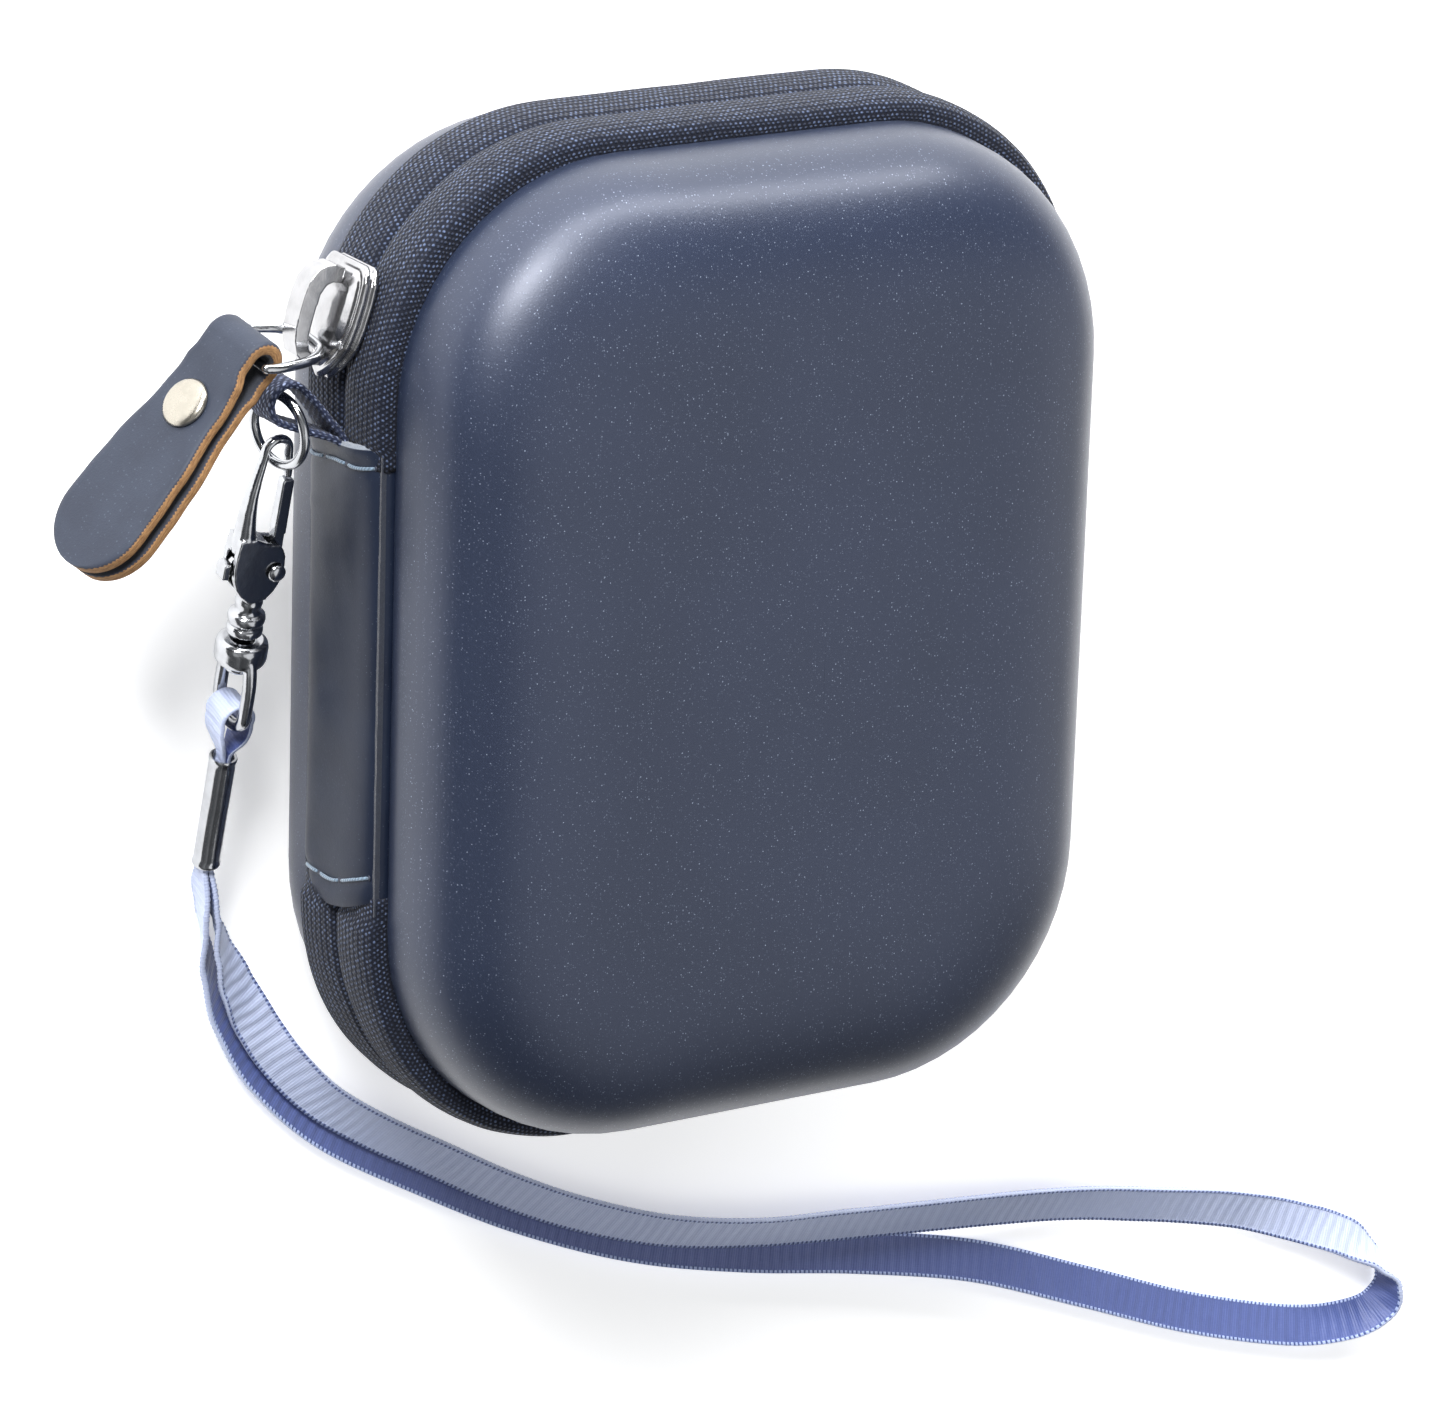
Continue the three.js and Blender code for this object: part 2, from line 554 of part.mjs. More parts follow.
function wristStrap() {
  const steps = 120;
  const middle = new THREE.CatmullRomCurve3(STRAP_ROUTE.map(([x, y, z]) => vec(x, y, z)));
  const turns = new THREE.CatmullRomCurve3(STRAP_ROUTE.map((point) => vec(point[3], 0, 0)));
  middle.curveType = 'catmullrom';
  turns.curveType = 'catmullrom';
  const rings = [];
  for (let i = 0; i <= steps; i += 1) {
    const t = i / steps;
    const centre = middle.getPoint(t);
    const run = middle.getTangent(t);
    const turn = THREE.MathUtils.degToRad(turns.getPoint(t).x);
    const left = vec(0, 0, 1).cross(run).normalize();
    const up = run.clone().cross(left);
    const face = up.multiplyScalar(Math.cos(turn)).addScaledVector(left, Math.sin(turn));
    const across = run.clone().cross(face).normalize();
    const narrow = i < 3 || i > steps - 3 ? 0.3 : 1;
    const half = (RIBBON_WIDTH / 2) * narrow;
    rings.push([[1, 1], [1, -1], [-1, -1], [-1, 1]].map(([side, skin]) => centre.clone()
      .addScaledVector(across, side * half)
      .addScaledVector(face, skin * (RIBBON_THICKNESS / 2))));
  }
  return loft(rings);
}

// ---------------------------------------------------------------- lid pocket
const POCKET_TOP = 14;
const POCKET_INSET = 5.3;

function lidSheet(fromY, toY, lowZ, highZ) {
  const slab = plate(outline(POCKET_INSET, 8, CORNER_SHRINK).map((p) => [p.x, p.y]), highZ - lowZ);
  slab.translate(0, 0, lowZ);
  return common(slab, box(CASE_WIDTH, toY - fromY, CASE_DEPTH, 0, (fromY + toY) / 2, SEAM_Z));
}

// ---------------------------------------------------------------- assembly
const earbudsCase = new THREE.Group();

function add(name, geometry, finish, parent = earbudsCase) {
  const piece = new THREE.Mesh(geometry, finish);
  piece.name = name;
  parent.add(piece);
  return piece;
}

// The front tape is cut away over the parked slider's inner plate, so the lid can open.
const sliderNotch = box(6, 11.6, 4.2, -1.6, 0.8, 2.05);
sliderNotch.applyMatrix4(sliderFrame.matrixWorld);

// The front coil ends at the parked slider.
const coilEnd = box(9, 32, 4.2, -3.1, 11, 2.05);
coilEnd.applyMatrix4(sliderFrame.matrixWorld);

add('back_shell', shellGeometry, leather);
add('back_lining', liningGeometry, lining);
add('back_zip_tape', tapeGeometry(), wovenTape);
add('back_zip_coil', coilGeometry(), nylon);
add('back_binding', bindingGeometry(), lining);
add('spine_cover', spineStrip(-1, -1.5, 0.8), leather);
add('spine_lining', spineStrip(0.6, 0.6, 0.8), lining);
add('webbing_tab', webbingTab(), wovenTape);

add('front_shell', mirrored(shellGeometry), leather);
add('front_lining', mirrored(liningGeometry), lining);
add('front_zip_tape', cut(mirrored(tapeGeometry()), sliderNotch), wovenTape);
add('front_zip_coil', cut(mirrored(coilGeometry()), coilEnd), nylon);
add('front_binding', mirrored(bindingGeometry()), lining);
add('mesh_pocket', lidSheet(-HALF_LENGTH, POCKET_TOP, BAND_TOP + 0.4, BAND_TOP + 1), mesh);
add('pocket_elastic', lidSheet(POCKET_TOP + GAP, POCKET_TOP + 4.3, BAND_TOP + 0.2, BAND_TOP + 1.2),
  lining);

earbudsCase.add(sliderFrame, ringFrame, pullFrame);
add('slider_body', sliderBody(), nickel, sliderFrame);
add('slider_bridge', sliderBridge(), nickel, sliderFrame);
add('pull_ring', pullRing(), nickel, ringFrame);
add('pull_strap', pullStrap(), leather, pullFrame);
add('rivet_cap', rivetCap(), warmNickel, pullFrame);
add('rivet_post', rivetPost(), warmNickel, pullFrame);

const ringInTab = tabRing();
earbudsCase.add(ringInTab.group);
add('tab_ring', ringInTab.geometry, nickel, ringInTab.group);

const clasp = claspFrame();
earbudsCase.add(clasp);
add('clasp_body', claspBody(), nickel, clasp);
add('clasp_gate', claspGate(), nickel, clasp);
add('gate_pin', gatePin(), nickel, clasp);
add('gate_spring', gateSpring(), nickel, clasp);
add('swivel_eye', swivelEye(), nickel, clasp);
add('neck_loop', neckLoop(), satin, clasp);
add('ferrule', ferrule(), nickel, clasp);
add('wrist_strap', wristStrap(), satin);

export default earbudsCase;
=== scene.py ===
"""A zippered hard case for wireless earbuds with a wrist strap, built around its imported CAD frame.

Lengths are in millimetres until a mesh is made. +X points to the opening side, +Y to the top end
of the case and +Z out of its front dome; the case lies on its back dome.
"""

import math

import bpy
from mathutils import Matrix, Vector, noise


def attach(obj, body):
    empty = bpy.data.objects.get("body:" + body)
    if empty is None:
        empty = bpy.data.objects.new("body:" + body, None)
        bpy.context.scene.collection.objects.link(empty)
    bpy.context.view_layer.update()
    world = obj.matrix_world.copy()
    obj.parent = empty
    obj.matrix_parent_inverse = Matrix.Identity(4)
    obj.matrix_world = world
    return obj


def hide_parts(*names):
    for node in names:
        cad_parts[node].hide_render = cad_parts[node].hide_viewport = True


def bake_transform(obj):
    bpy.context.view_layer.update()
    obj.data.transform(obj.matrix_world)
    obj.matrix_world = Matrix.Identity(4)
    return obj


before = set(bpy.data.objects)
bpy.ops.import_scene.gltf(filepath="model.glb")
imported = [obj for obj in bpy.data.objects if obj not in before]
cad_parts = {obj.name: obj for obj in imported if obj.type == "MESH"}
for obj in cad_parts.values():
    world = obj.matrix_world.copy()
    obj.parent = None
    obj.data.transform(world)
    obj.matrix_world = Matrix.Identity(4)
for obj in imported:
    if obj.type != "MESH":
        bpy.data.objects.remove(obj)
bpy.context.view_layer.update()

MM = 0.001

# ---------------------------------------------------------------- dimensions, as in part.mjs
CASE_WIDTH = 87
CASE_LENGTH = 112
CASE_DEPTH = 47
CORNER_RADIUS = 26.7
BAND_DEPTH = 16
DOME_DEPTH = (CASE_DEPTH - BAND_DEPTH) / 2
DOME_STEP = 1.9
DOME_RUN = 24  # inset over which a dome's wall turns into its flat face
DOME_POWER = 3  # of the superellipse that the wall follows
SHELL_THICKNESS = 1.8
LINING_THICKNESS = 0.8
GAP = 0.3
SEAM_Z = CASE_DEPTH / 2
BAND_BOTTOM = DOME_DEPTH
BAND_TOP = CASE_DEPTH - DOME_DEPTH
HALF_WIDTH = CASE_WIDTH / 2
HALF_LENGTH = CASE_LENGTH / 2
CORNER_X = HALF_WIDTH - CORNER_RADIUS
CORNER_Y = HALF_LENGTH - CORNER_RADIUS
SPINE_TOP = 24
SPINE_BOTTOM = -26.8
SLIDER_ANGLE = math.radians(16.4)
PULL_AXIS = Vector((0.14, -0.22, 0.965)).normalized()
RING_REACH = 8.9
FERRULE_START = 41.3
FERRULE_LENGTH = 14.2
FERRULE_RADIUS = 1.55
RIBBON_WIDTH = 5
RIBBON_THICKNESS = 0.5

# ---------------------------------------------------------------- camera
CAMERA_PLACE = Vector((-411.9, 248.3, 691.7))
CAMERA_RIGHT = Vector((0.85367, 0.03126, 0.51988))
CAMERA_UP = Vector((0.13840, 0.94871, -0.28432))
CAMERA_BACK = Vector((-0.50209, 0.31466, 0.80555))
CAMERA_LENS = 188.84
CAMERA_SENSOR = 36


def add_camera():
    data = bpy.data.cameras.new("camera")
    data.lens = CAMERA_LENS
    data.sensor_width = CAMERA_SENSOR
    data.sensor_fit = "HORIZONTAL"
    data.clip_start = 0.05
    data.clip_end = 50
    camera = bpy.data.objects.new("camera", data)
    turn = Matrix((CAMERA_RIGHT, CAMERA_UP, CAMERA_BACK)).transposed().to_4x4()
    camera.matrix_world = Matrix.Translation(CAMERA_PLACE * MM) @ turn
    bpy.context.scene.collection.objects.link(camera)
    bpy.context.scene.camera = camera


add_camera()


# ---------------------------------------------------------------- shader formulas
class Field:
    """One number that varies over a surface, with arithmetic that adds nodes."""

    def __init__(self, tree, source):
        self.tree = tree
        self.source = source

    def math(self, operation, *others):
        node = self.tree.nodes.new("ShaderNodeMath")
        node.operation = operation
        for socket, value in zip(node.inputs, (self, *others)):
            plug(self.tree, value, socket)
        return Field(self.tree, node.outputs[0])

    def __add__(self, other):
        return self.math("ADD", other)

    def __sub__(self, other):
        return self.math("SUBTRACT", other)

    def __mul__(self, other):
        return self.math("MULTIPLY", other)

    def __truediv__(self, other):
        return self.math("DIVIDE", other)

    __radd__ = __add__
    __rmul__ = __mul__

    def fract(self):
        return self.math("FRACT")

    def floor(self):
        return self.math("FLOOR")

    def abs(self):
        return self.math("ABSOLUTE")

    def sin(self):
        return self.math("SINE")

    def sqrt(self):
        return self.math("SQRT")

    def min(self, other):
        return self.math("MINIMUM", other)

    def max(self, other):
        return self.math("MAXIMUM", other)

    def ramp(self, low, high, start=0.0, end=1.0):
        """Smooth step from start, below low, to end, above high."""
        node = self.tree.nodes.new("ShaderNodeMapRange")
        node.interpolation_type = "SMOOTHSTEP"
        if low > high:
            low, high, start, end = high, low, end, start
        plug(self.tree, self, node.inputs["Value"])
        node.inputs["From Min"].default_value = low
        node.inputs["From Max"].default_value = high
        node.inputs["To Min"].default_value = start
        node.inputs["To Max"].default_value = end
        return Field(self.tree, node.outputs["Result"])


def plug(tree, value, socket):
    if isinstance(value, Field):
        value = value.source
    if isinstance(value, (int, float)):
        socket.default_value = value
    else:
        tree.links.new(value, socket)


class Finish:
    """A procedural material around one Principled shader."""

    def __init__(self, name, **sockets):
        self.material = bpy.data.materials.new(name)
        self.material.use_nodes = True
        self.tree = self.material.node_tree
        self.shader = self.tree.nodes["Principled BSDF"]
        for key, value in sockets.items():
            self.shader.inputs[key.replace("_", " ")].default_value = value
        coordinates = self.tree.nodes.new("ShaderNodeTexCoord")
        scaled = self.tree.nodes.new("ShaderNodeVectorMath")
        scaled.operation = "SCALE"
        scaled.inputs["Scale"].default_value = 1 / MM
        self.tree.links.new(coordinates.outputs["Object"], scaled.inputs[0])
        self.place = scaled.outputs[0]
        self.uv = coordinates.outputs["UV"]

    def split(self, vector):
        node = self.tree.nodes.new("ShaderNodeSeparateXYZ")
        self.tree.links.new(vector, node.inputs[0])
        return [Field(self.tree, output) for output in node.outputs]

    def join(self, x, y, z=0.0):
        node = self.tree.nodes.new("ShaderNodeCombineXYZ")
        for value, socket in zip((x, y, z), node.inputs):
            plug(self.tree, value, socket)
        return node.outputs[0]

    def noise(self, size, detail=2.0, roughness=0.5, vector=None):
        """Noise from 0 to 1 whose lumps are about size mm."""
        node = self.tree.nodes.new("ShaderNodeTexNoise")
        self.tree.links.new(vector or self.place, node.inputs["Vector"])
        node.inputs["Scale"].default_value = 1 / size
        node.inputs["Detail"].default_value = detail
        node.inputs["Roughness"].default_value = roughness
        return Field(self.tree, node.outputs["Fac"])

    def specks(self, size, outer, inner, rare):
        """Dots in cells of about size mm. They fade from inner to outer; few pass rare."""
        node = self.tree.nodes.new("ShaderNodeTexVoronoi")
        self.tree.links.new(self.place, node.inputs["Vector"])
        node.inputs["Scale"].default_value = 1 / size
        pick = self.split(node.outputs["Color"])[0]
        distance = Field(self.tree, node.outputs["Distance"])
        return distance.ramp(outer, inner) * pick.ramp(rare, 1.0)

    def random(self, x, y):
        node = self.tree.nodes.new("ShaderNodeTexWhiteNoise")
        node.noise_dimensions = "2D"
        self.tree.links.new(self.join(x, y), node.inputs["Vector"])
        return Field(self.tree, node.outputs["Value"])

    def mix(self, share, first, second):
        """Colour between two colours or colour sockets."""
        node = self.tree.nodes.new("ShaderNodeMix")
        node.data_type = "RGBA"
        plug(self.tree, share, node.inputs["Factor"])
        for value, socket in ((first, node.inputs[6]), (second, node.inputs[7])):
            if isinstance(value, tuple):
                socket.default_value = (*value, 1)
            else:
                self.tree.links.new(value, socket)
        return node.outputs[2]

    def colour(self, socket):
        self.tree.links.new(socket, self.shader.inputs["Base Color"])

    def set(self, name, value):
        plug(self.tree, value, self.shader.inputs[name])

    def bump(self, height, depth):
        """Relief whose height field of 0 to 1 stands for depth mm."""
        node = self.tree.nodes.new("ShaderNodeBump")
        node.inputs["Distance"].default_value = depth * MM
        plug(self.tree, height, node.inputs["Height"])
        self.tree.links.new(node.outputs[0], self.shader.inputs["Normal"])


# ---------------------------------------------------------------- finishes
SHELL_LIGHT = (0.016, 0.025, 0.056)
SHELL_DEEP = (0.013, 0.021, 0.048)
SHELL_SPECK = (0.13, 0.16, 0.23)
SHELL_GLINT = (0.34, 0.4, 0.52)
SHELL_ROUGHNESS = 0.36


def shell_leather(name):
    """Pearly coated imitation leather: very fine grain and pale metallic specks."""
    finish = Finish(name, Metallic=0.25, Coat_Weight=0.45, Coat_Roughness=0.4)
    cloud = finish.noise(26, 2)
    colour = finish.mix(cloud.ramp(0.3, 0.7), SHELL_LIGHT, SHELL_DEEP)
    speck = finish.specks(0.24, 0.4, 0.15, 0.55)
    glint = finish.specks(0.36, 0.26, 0.12, 0.72)
    colour = finish.mix(speck * 0.5, colour, SHELL_SPECK)
    finish.colour(finish.mix(glint * 0.6, colour, SHELL_GLINT))
    grain = finish.noise(0.22, 3, 0.7)
    finish.set("Roughness", grain * 0.1 + cloud * 0.03 + SHELL_ROUGHNESS)
    finish.bump(grain + speck * 0.5, 0.02)
    return finish.material


def spine_leather(name):
    """Smoother navy imitation leather with soft creases."""
    finish = Finish(name, Specular_IOR_Level=0.3, Coat_Weight=0.05, Coat_Roughness=0.35)
    cloud = finish.noise(9, 3)
    colour = finish.mix(cloud.ramp(0.25, 0.75), (0.005, 0.009, 0.022), (0.0085, 0.014, 0.031))
    speck = finish.specks(0.3, 0.3, 0.15, 0.7)
    finish.colour(finish.mix(speck * 0.3, colour, (0.12, 0.14, 0.19)))
    grain = finish.noise(0.25, 3, 0.7)
    finish.set("Roughness", grain * 0.14 + 0.36)
    finish.bump(grain * 0.4 + finish.noise(2.6, 2) * 0.9, 0.05)
    return finish.material


def woven(name, dark, pale, along=0.62, across=0.44, relief=0.12):
    """Twilled tape: slanted flecks in rows, each with its own brightness; the raised flecks are
    painted pale as highlights and the gaps between them dark as painted shade. The UV map is in mm.
    """
    finish = Finish(name, Sheen_Weight=0.08, Sheen_Roughness=0.5)
    u, v, _ = finish.split(finish.uv)
    warp = finish.noise(1.6, 2)
    u = u + (warp - 0.5) * 0.5
    v = v + (finish.noise(2.3, 2) - 0.5) * 0.35
    row = (v / across).floor()
    side = (row * 0.5).fract() * 4 - 1
    x = ((u / along + row * 0.37).fract() - 0.5) * along
    y = ((v / across).fract() - 0.5) * across
    slant = x + y * side * 0.55
    lean = y - x * side * 0.45
    far = (slant * slant * (1 / (0.36 * along) ** 2) + lean * lean * (1 / (0.42 * across) ** 2))
    fleck = far.sqrt().ramp(1.15, 0.35)
    pick = finish.random((u / along + row * 0.37).floor(), row)
    # painted highlight on the raised flecks and painted shade in the gaps between them; the random
    # pick and the cloud vary the tone
    light = fleck * pick.ramp(0.25, 1.0, 0.25, 1.0)
    cloud = finish.noise(6, 2).ramp(0.3, 0.7, 0.7, 1.0)
    finish.colour(finish.mix(light * cloud, dark, pale))
    finish.set("Roughness", fleck * -0.25 + 0.8)
    finish.shader.inputs["Specular IOR Level"].default_value = 0.25
    finish.bump(fleck + finish.noise(0.12, 2) * 0.3, relief)
    return finish.material


def fabric(name, dark, pale, size=0.5, relief=0.1):
    """Brushed knitted lining."""
    finish = Finish(name, Sheen_Weight=0.4, Sheen_Roughness=0.4, Roughness=0.95)
    fine = finish.noise(size, 4, 0.7)
    patch = finish.noise(size * 12, 2)
    finish.colour(finish.mix(fine * 0.7 + patch * 0.3, dark, pale))
    finish.bump(fine, relief)
    return finish.material


def plated(name, tint=(0.5, 0.51, 0.53), rough=0.07, wear=0.1):
    """Nickel plating with faint ripples and rubbed patches."""
    finish = Finish(name, Metallic=1.0)
    patch = finish.noise(1.8, 3)
    fine = finish.noise(0.25, 2)
    finish.colour(finish.mix(patch.ramp(0.35, 0.75), tint, tuple(c * 0.86 for c in tint)))
    finish.set("Roughness", patch * wear + fine * 0.06 + rough)
    finish.bump(finish.noise(1.2, 2) * 0.8 + fine * 0.2, 0.02)
    return finish.material


def pull_leather(name):
    """Matte smooth leather with a faint grain."""
    finish = Finish(name, Specular_IOR_Level=0.35)
    cloud = finish.noise(5, 3)
    colour = finish.mix(cloud.ramp(0.3, 0.7), (0.014, 0.019, 0.034), (0.019, 0.0255, 0.043))
    grain = finish.noise(0.22, 3, 0.7)
    speck = finish.specks(0.35, 0.35, 0.1, 0.6)
    finish.colour(finish.mix(speck * 0.3 + grain * 0.12, colour, (0.13, 0.15, 0.2)))
    finish.set("Roughness", grain * 0.15 + 0.48)
    finish.bump(grain, 0.03)
    return finish.material


def raw_edge(name, thickness):
    """Cut edge of coated leather: tan core between dark dotted coats. V is across it in mm."""
    finish = Finish(name, Roughness=0.8)
    u, v, _ = finish.split(finish.uv)
    fibre = finish.noise(0.35, 4, 0.75, finish.join(u * 0.4, v * 2.2))
    tan = finish.mix(fibre.ramp(0.3, 0.7), (0.17, 0.08, 0.028), (0.43, 0.24, 0.1))
    rim = v.abs() + (finish.noise(0.35, 2) - 0.5) * 0.16
    dots = (u / 0.42).fract().math("PINGPONG", 0.5)
    border = (rim + (dots - 0.25) * 0.3).ramp(thickness * 0.33, thickness * 0.41)
    finish.colour(finish.mix(border, tan, (0.022, 0.026, 0.042)))
    finish.bump(fibre, 0.1)
    return finish.material


def satin(name, deep, pale, gloss):
    """Satin ribbon: fine cross ribs, long floats and dotted selvedges. The UV map is in mm."""
    finish = Finish(name, Sheen_Weight=0.4, Sheen_Roughness=0.3, Specular_IOR_Level=gloss)
    finish.shader.inputs["Sheen Tint"].default_value = (0.7, 0.8, 1.0, 1)
    u, v, _ = finish.split(finish.uv)
    threads = finish.noise(0.35, 2, 0.6, finish.join(u * 0.35, v * 3.0))
    patch = finish.noise(3.5, 3)
    rib = (u * (2 * math.pi / 0.34)).sin() * 0.5 + 0.5
    # threads and patches vary the tone; the ribs' crests are painted lighter and their grooves
    # darker, painted highlight and shade
    colour = finish.mix(threads * 0.5 + rib * 0.2 + patch * 0.3, deep, pale)
    edge = v.abs().ramp(RIBBON_WIDTH / 2 - 0.42, RIBBON_WIDTH / 2 - 0.3)
    dot = (u / 0.62).fract().math("PINGPONG", 0.5).ramp(0.12, 0.3)
    trim = finish.mix(dot, (0.05, 0.08, 0.24), (0.4, 0.48, 0.75))
    finish.colour(finish.mix(edge, colour, trim))
    finish.set("Roughness", threads * 0.2 + 0.34)
    finish.bump(rib * 0.5 + threads * 0.7 + dot * edge, 0.05)
    return finish.material


def thread(name, colour):
    """Twisted sewing thread."""
    finish = Finish(name, Roughness=0.6, Sheen_Weight=0.3)
    u, v, _ = finish.split(finish.uv)
    ply = ((u * 2.4 + v * 1.0) * (2 * math.pi)).sin() * 0.5 + 0.5
    # the twist's grooves are painted darker than its crests, painted shade
    finish.colour(finish.mix(ply, tuple(c * 0.45 for c in colour), colour))
    finish.bump(ply, 0.06)
    return finish.material


def moulded(name, dark, pale, rough=0.45):
    """Nylon, slightly uneven in colour and gloss."""
    finish = Finish(name, Roughness=rough)
    patch = finish.noise(1.5, 3)
    finish.colour(finish.mix(patch, dark, pale))
    finish.set("Roughness", patch * 0.2 + rough - 0.1)
    finish.bump(finish.noise(0.2, 2), 0.02)
    return finish.material


def netting(name):
    """Open net with round holes of about 1 mm. The UV map is in mm."""
    finish = Finish(name, Roughness=0.8)
    u, v, _ = finish.split(finish.uv)
    pitch = 1.5
    row = (v / pitch).floor()
    x = (u / pitch + row * 0.5).fract() - 0.5
    y = (v / pitch).fract() - 0.5
    far = (x * x + y * y).sqrt()
    cord = far.ramp(0.27, 0.31)
    strand = finish.noise(0.2, 3)
    finish.colour(finish.mix(strand, (0.012, 0.014, 0.024), (0.05, 0.058, 0.08)))
    finish.set("Alpha", cord)
    finish.bump(strand + cord, 0.1)
    return finish.material


LEATHER = shell_leather("shell_leather")
SPINE = spine_leather("spine_leather")
TAPE = woven("zip_tape_weave", (0.0028, 0.0045, 0.0125), (0.1, 0.14, 0.25))
WEBBING = woven("webbing_weave", (0.015, 0.021, 0.05), (0.36, 0.43, 0.66), 0.8, 0.4)
LINING = fabric("lining_fabric", (0.008, 0.01, 0.018), (0.035, 0.042, 0.062))
BINDING = woven("binding_weave", (0.006, 0.008, 0.016), (0.05, 0.06, 0.09), 0.9, 0.5, 0.08)
NICKEL = plated("nickel")
SLIDER_NICKEL = plated("slider_nickel", (0.47, 0.47, 0.48), 0.12, 0.12)
SPRING = plated("spring_steel", (0.62, 0.62, 0.64), 0.22, 0.1)
WARM_NICKEL = plated("warm_nickel", (0.46, 0.43, 0.37), 0.2, 0.1)
PULL = pull_leather("pull_leather")
PULL_EDGE = raw_edge("pull_edge", 1.5)
PULL_BACK = fabric("pull_suede", (0.01, 0.012, 0.018), (0.03, 0.034, 0.046), 0.3, 0.08)
SATIN = satin("satin_ribbon", (0.33, 0.39, 0.62), (0.62, 0.68, 0.86), 1.0)
# The reverse is darker than the front: partly the duller back of satin, partly painted shade of the
# strands on each other's inner faces.
SATIN_BACK_AND_SHADE = satin("satin_reverse_and_shade", (0.04, 0.06, 0.2), (0.12, 0.16, 0.38), 0.5)
THREAD = thread("stitch_thread", (0.16, 0.24, 0.33))
NYLON = moulded("coil_nylon", (0.012, 0.016, 0.03), (0.035, 0.042, 0.07))
NET = netting("mesh_net")


# ---------------------------------------------------------------- mesh helpers
def add_piece(name, points, faces, finishes, body=None, slot=None, replaced=(), uvs=None,
              picks=None, crease=None):
    """A mesh from points in mm, smooth shaded. uvs holds one (u, v) list per face, in mm."""
    if not uvs:
        faces = turned_outward(points, faces)
    mesh = bpy.data.meshes.new(name)
    mesh.from_pydata([Vector(p) * MM for p in points], [], faces)
    for finish in finishes:
        mesh.materials.append(finish)
    if picks:
        mesh.polygons.foreach_set("material_index", picks)
    if uvs:
        layer = mesh.uv_layers.new(name="UVMap")
        layer.data.foreach_set("uv", [c for face in uvs for corner in face for c in corner])
    mesh.validate()
    mesh.shade_smooth()
    if crease:
        mesh.set_sharp_from_angle(angle=math.radians(crease))
    piece = bpy.data.objects.new(name, mesh)
    bpy.context.scene.collection.objects.link(piece)
    if body:
        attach(piece, body)
    if replaced:
        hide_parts(*replaced)
    return piece


def lattice(rings, looped=False):
    """Points and faces of the skin through equal rings, with a cap at each end if not looped."""
    count = len(rings[0])
    points = [p for ring in rings for p in ring]
    faces = []
    spans = len(rings) if looped else len(rings) - 1
    for i in range(spans):
        following = (i + 1) % len(rings)
        for j in range(count):
            k = (j + 1) % count
            faces.append((i * count + j, i * count + k, following * count + k,
                          following * count + j))
    if not looped:
        faces.append(tuple(reversed(range(count))))
        faces.append(tuple(range((len(rings) - 1) * count, len(rings) * count)))
    return points, faces


def turned_outward(points, faces):
    """The faces, reversed if the closed mesh is inside out."""
    volume = 0.0
    for face in faces:
        a = Vector(points[face[0]])
        for j in range(1, len(face) - 1):
            volume += a.dot(Vector(points[face[j]]).cross(Vector(points[face[j + 1]])))
    return faces if volume > 0 else [tuple(reversed(face)) for face in faces]


CURVE_STEPS = 24  # between two points of a smooth path


def smooth_path(points, count, closed=False):
    """Catmull-Rom curve through points, sampled at equal steps of its length."""
    dense = []
    total = len(points)
    for i in range(total if closed else total - 1):
        around = [i + k if closed else min(max(i + k, 0), total - 1) for k in (-1, 0, 1, 2)]
        p = [Vector(points[k % total]) for k in around]
        for k in range(CURVE_STEPS):
            t = k / CURVE_STEPS
            dense.append(0.5 * ((2 * p[1]) + (p[2] - p[0]) * t
                                + (2 * p[0] - 5 * p[1] + 4 * p[2] - p[3]) * t * t
                                + (3 * p[1] - p[0] - 3 * p[2] + p[3]) * t ** 3))
    dense.append(Vector(points[0]) if closed else Vector(points[-1]))
    reach = lengths(dense)
    out = []
    samples = count if closed else count - 1
    j = 0
    for i in range(count):
        target = reach[-1] * i / samples
        while j < len(dense) - 2 and reach[j + 1] < target:
            j += 1
        step = reach[j + 1] - reach[j]
        share = 0 if step < 1e-9 else (target - reach[j]) / step
        out.append(dense[j].lerp(dense[j + 1], share))
    return out


def lengths(path):
    """Distance along a path at each of its points."""
    reach = [0.0]
    for a, b in zip(path, path[1:]):
        reach.append(reach[-1] + (b - a).length)
    return reach


def tangents(path, closed=False):
    total = len(path)
    result = []
    for i in range(total):
        if closed:
            step = path[(i + 1) % total] - path[i - 1]
        else:
            step = path[min(i + 1, total - 1)] - path[max(i - 1, 0)]
        result.append(step.normalized())
    return result


def tube(path, radius, sides=12, closed=False, guide=(0, 0, 1)):
    """Round tube along a path; radius is a number, or one per point, or (wide, thick) pairs."""
    rings = []
    across = None
    for i, (point, run) in enumerate(zip(path, tangents(path, closed))):
        if across is None:
            across = Vector(guide).cross(run)
            if across.length < 0.1:
                across = Vector((1, 0, 0)).cross(run)
        across = (across - run * across.dot(run)).normalized()
        up = run.cross(across)
        size = radius[i] if isinstance(radius, list) else radius
        wide, thick = size if isinstance(size, tuple) else (size, size)
        rings.append([point + across * (wide * c) + up * (thick * s) for c, s in circle(sides)])
    return lattice(rings, closed)


def lathe(profile, segments=48, turn=Matrix.Identity(4)):
    """Solid of revolution about Y from (radius, y) pairs; a profile that ends where it starts
    makes a ring."""
    rings = [[turn @ Vector((r * c, y, r * s)) for c, s in circle(segments)] for r, y in profile]
    closed = profile[0] == profile[-1]
    if closed:
        rings.pop()
    points, faces = lattice(rings, closed)
    return points, turned_outward(points, faces)


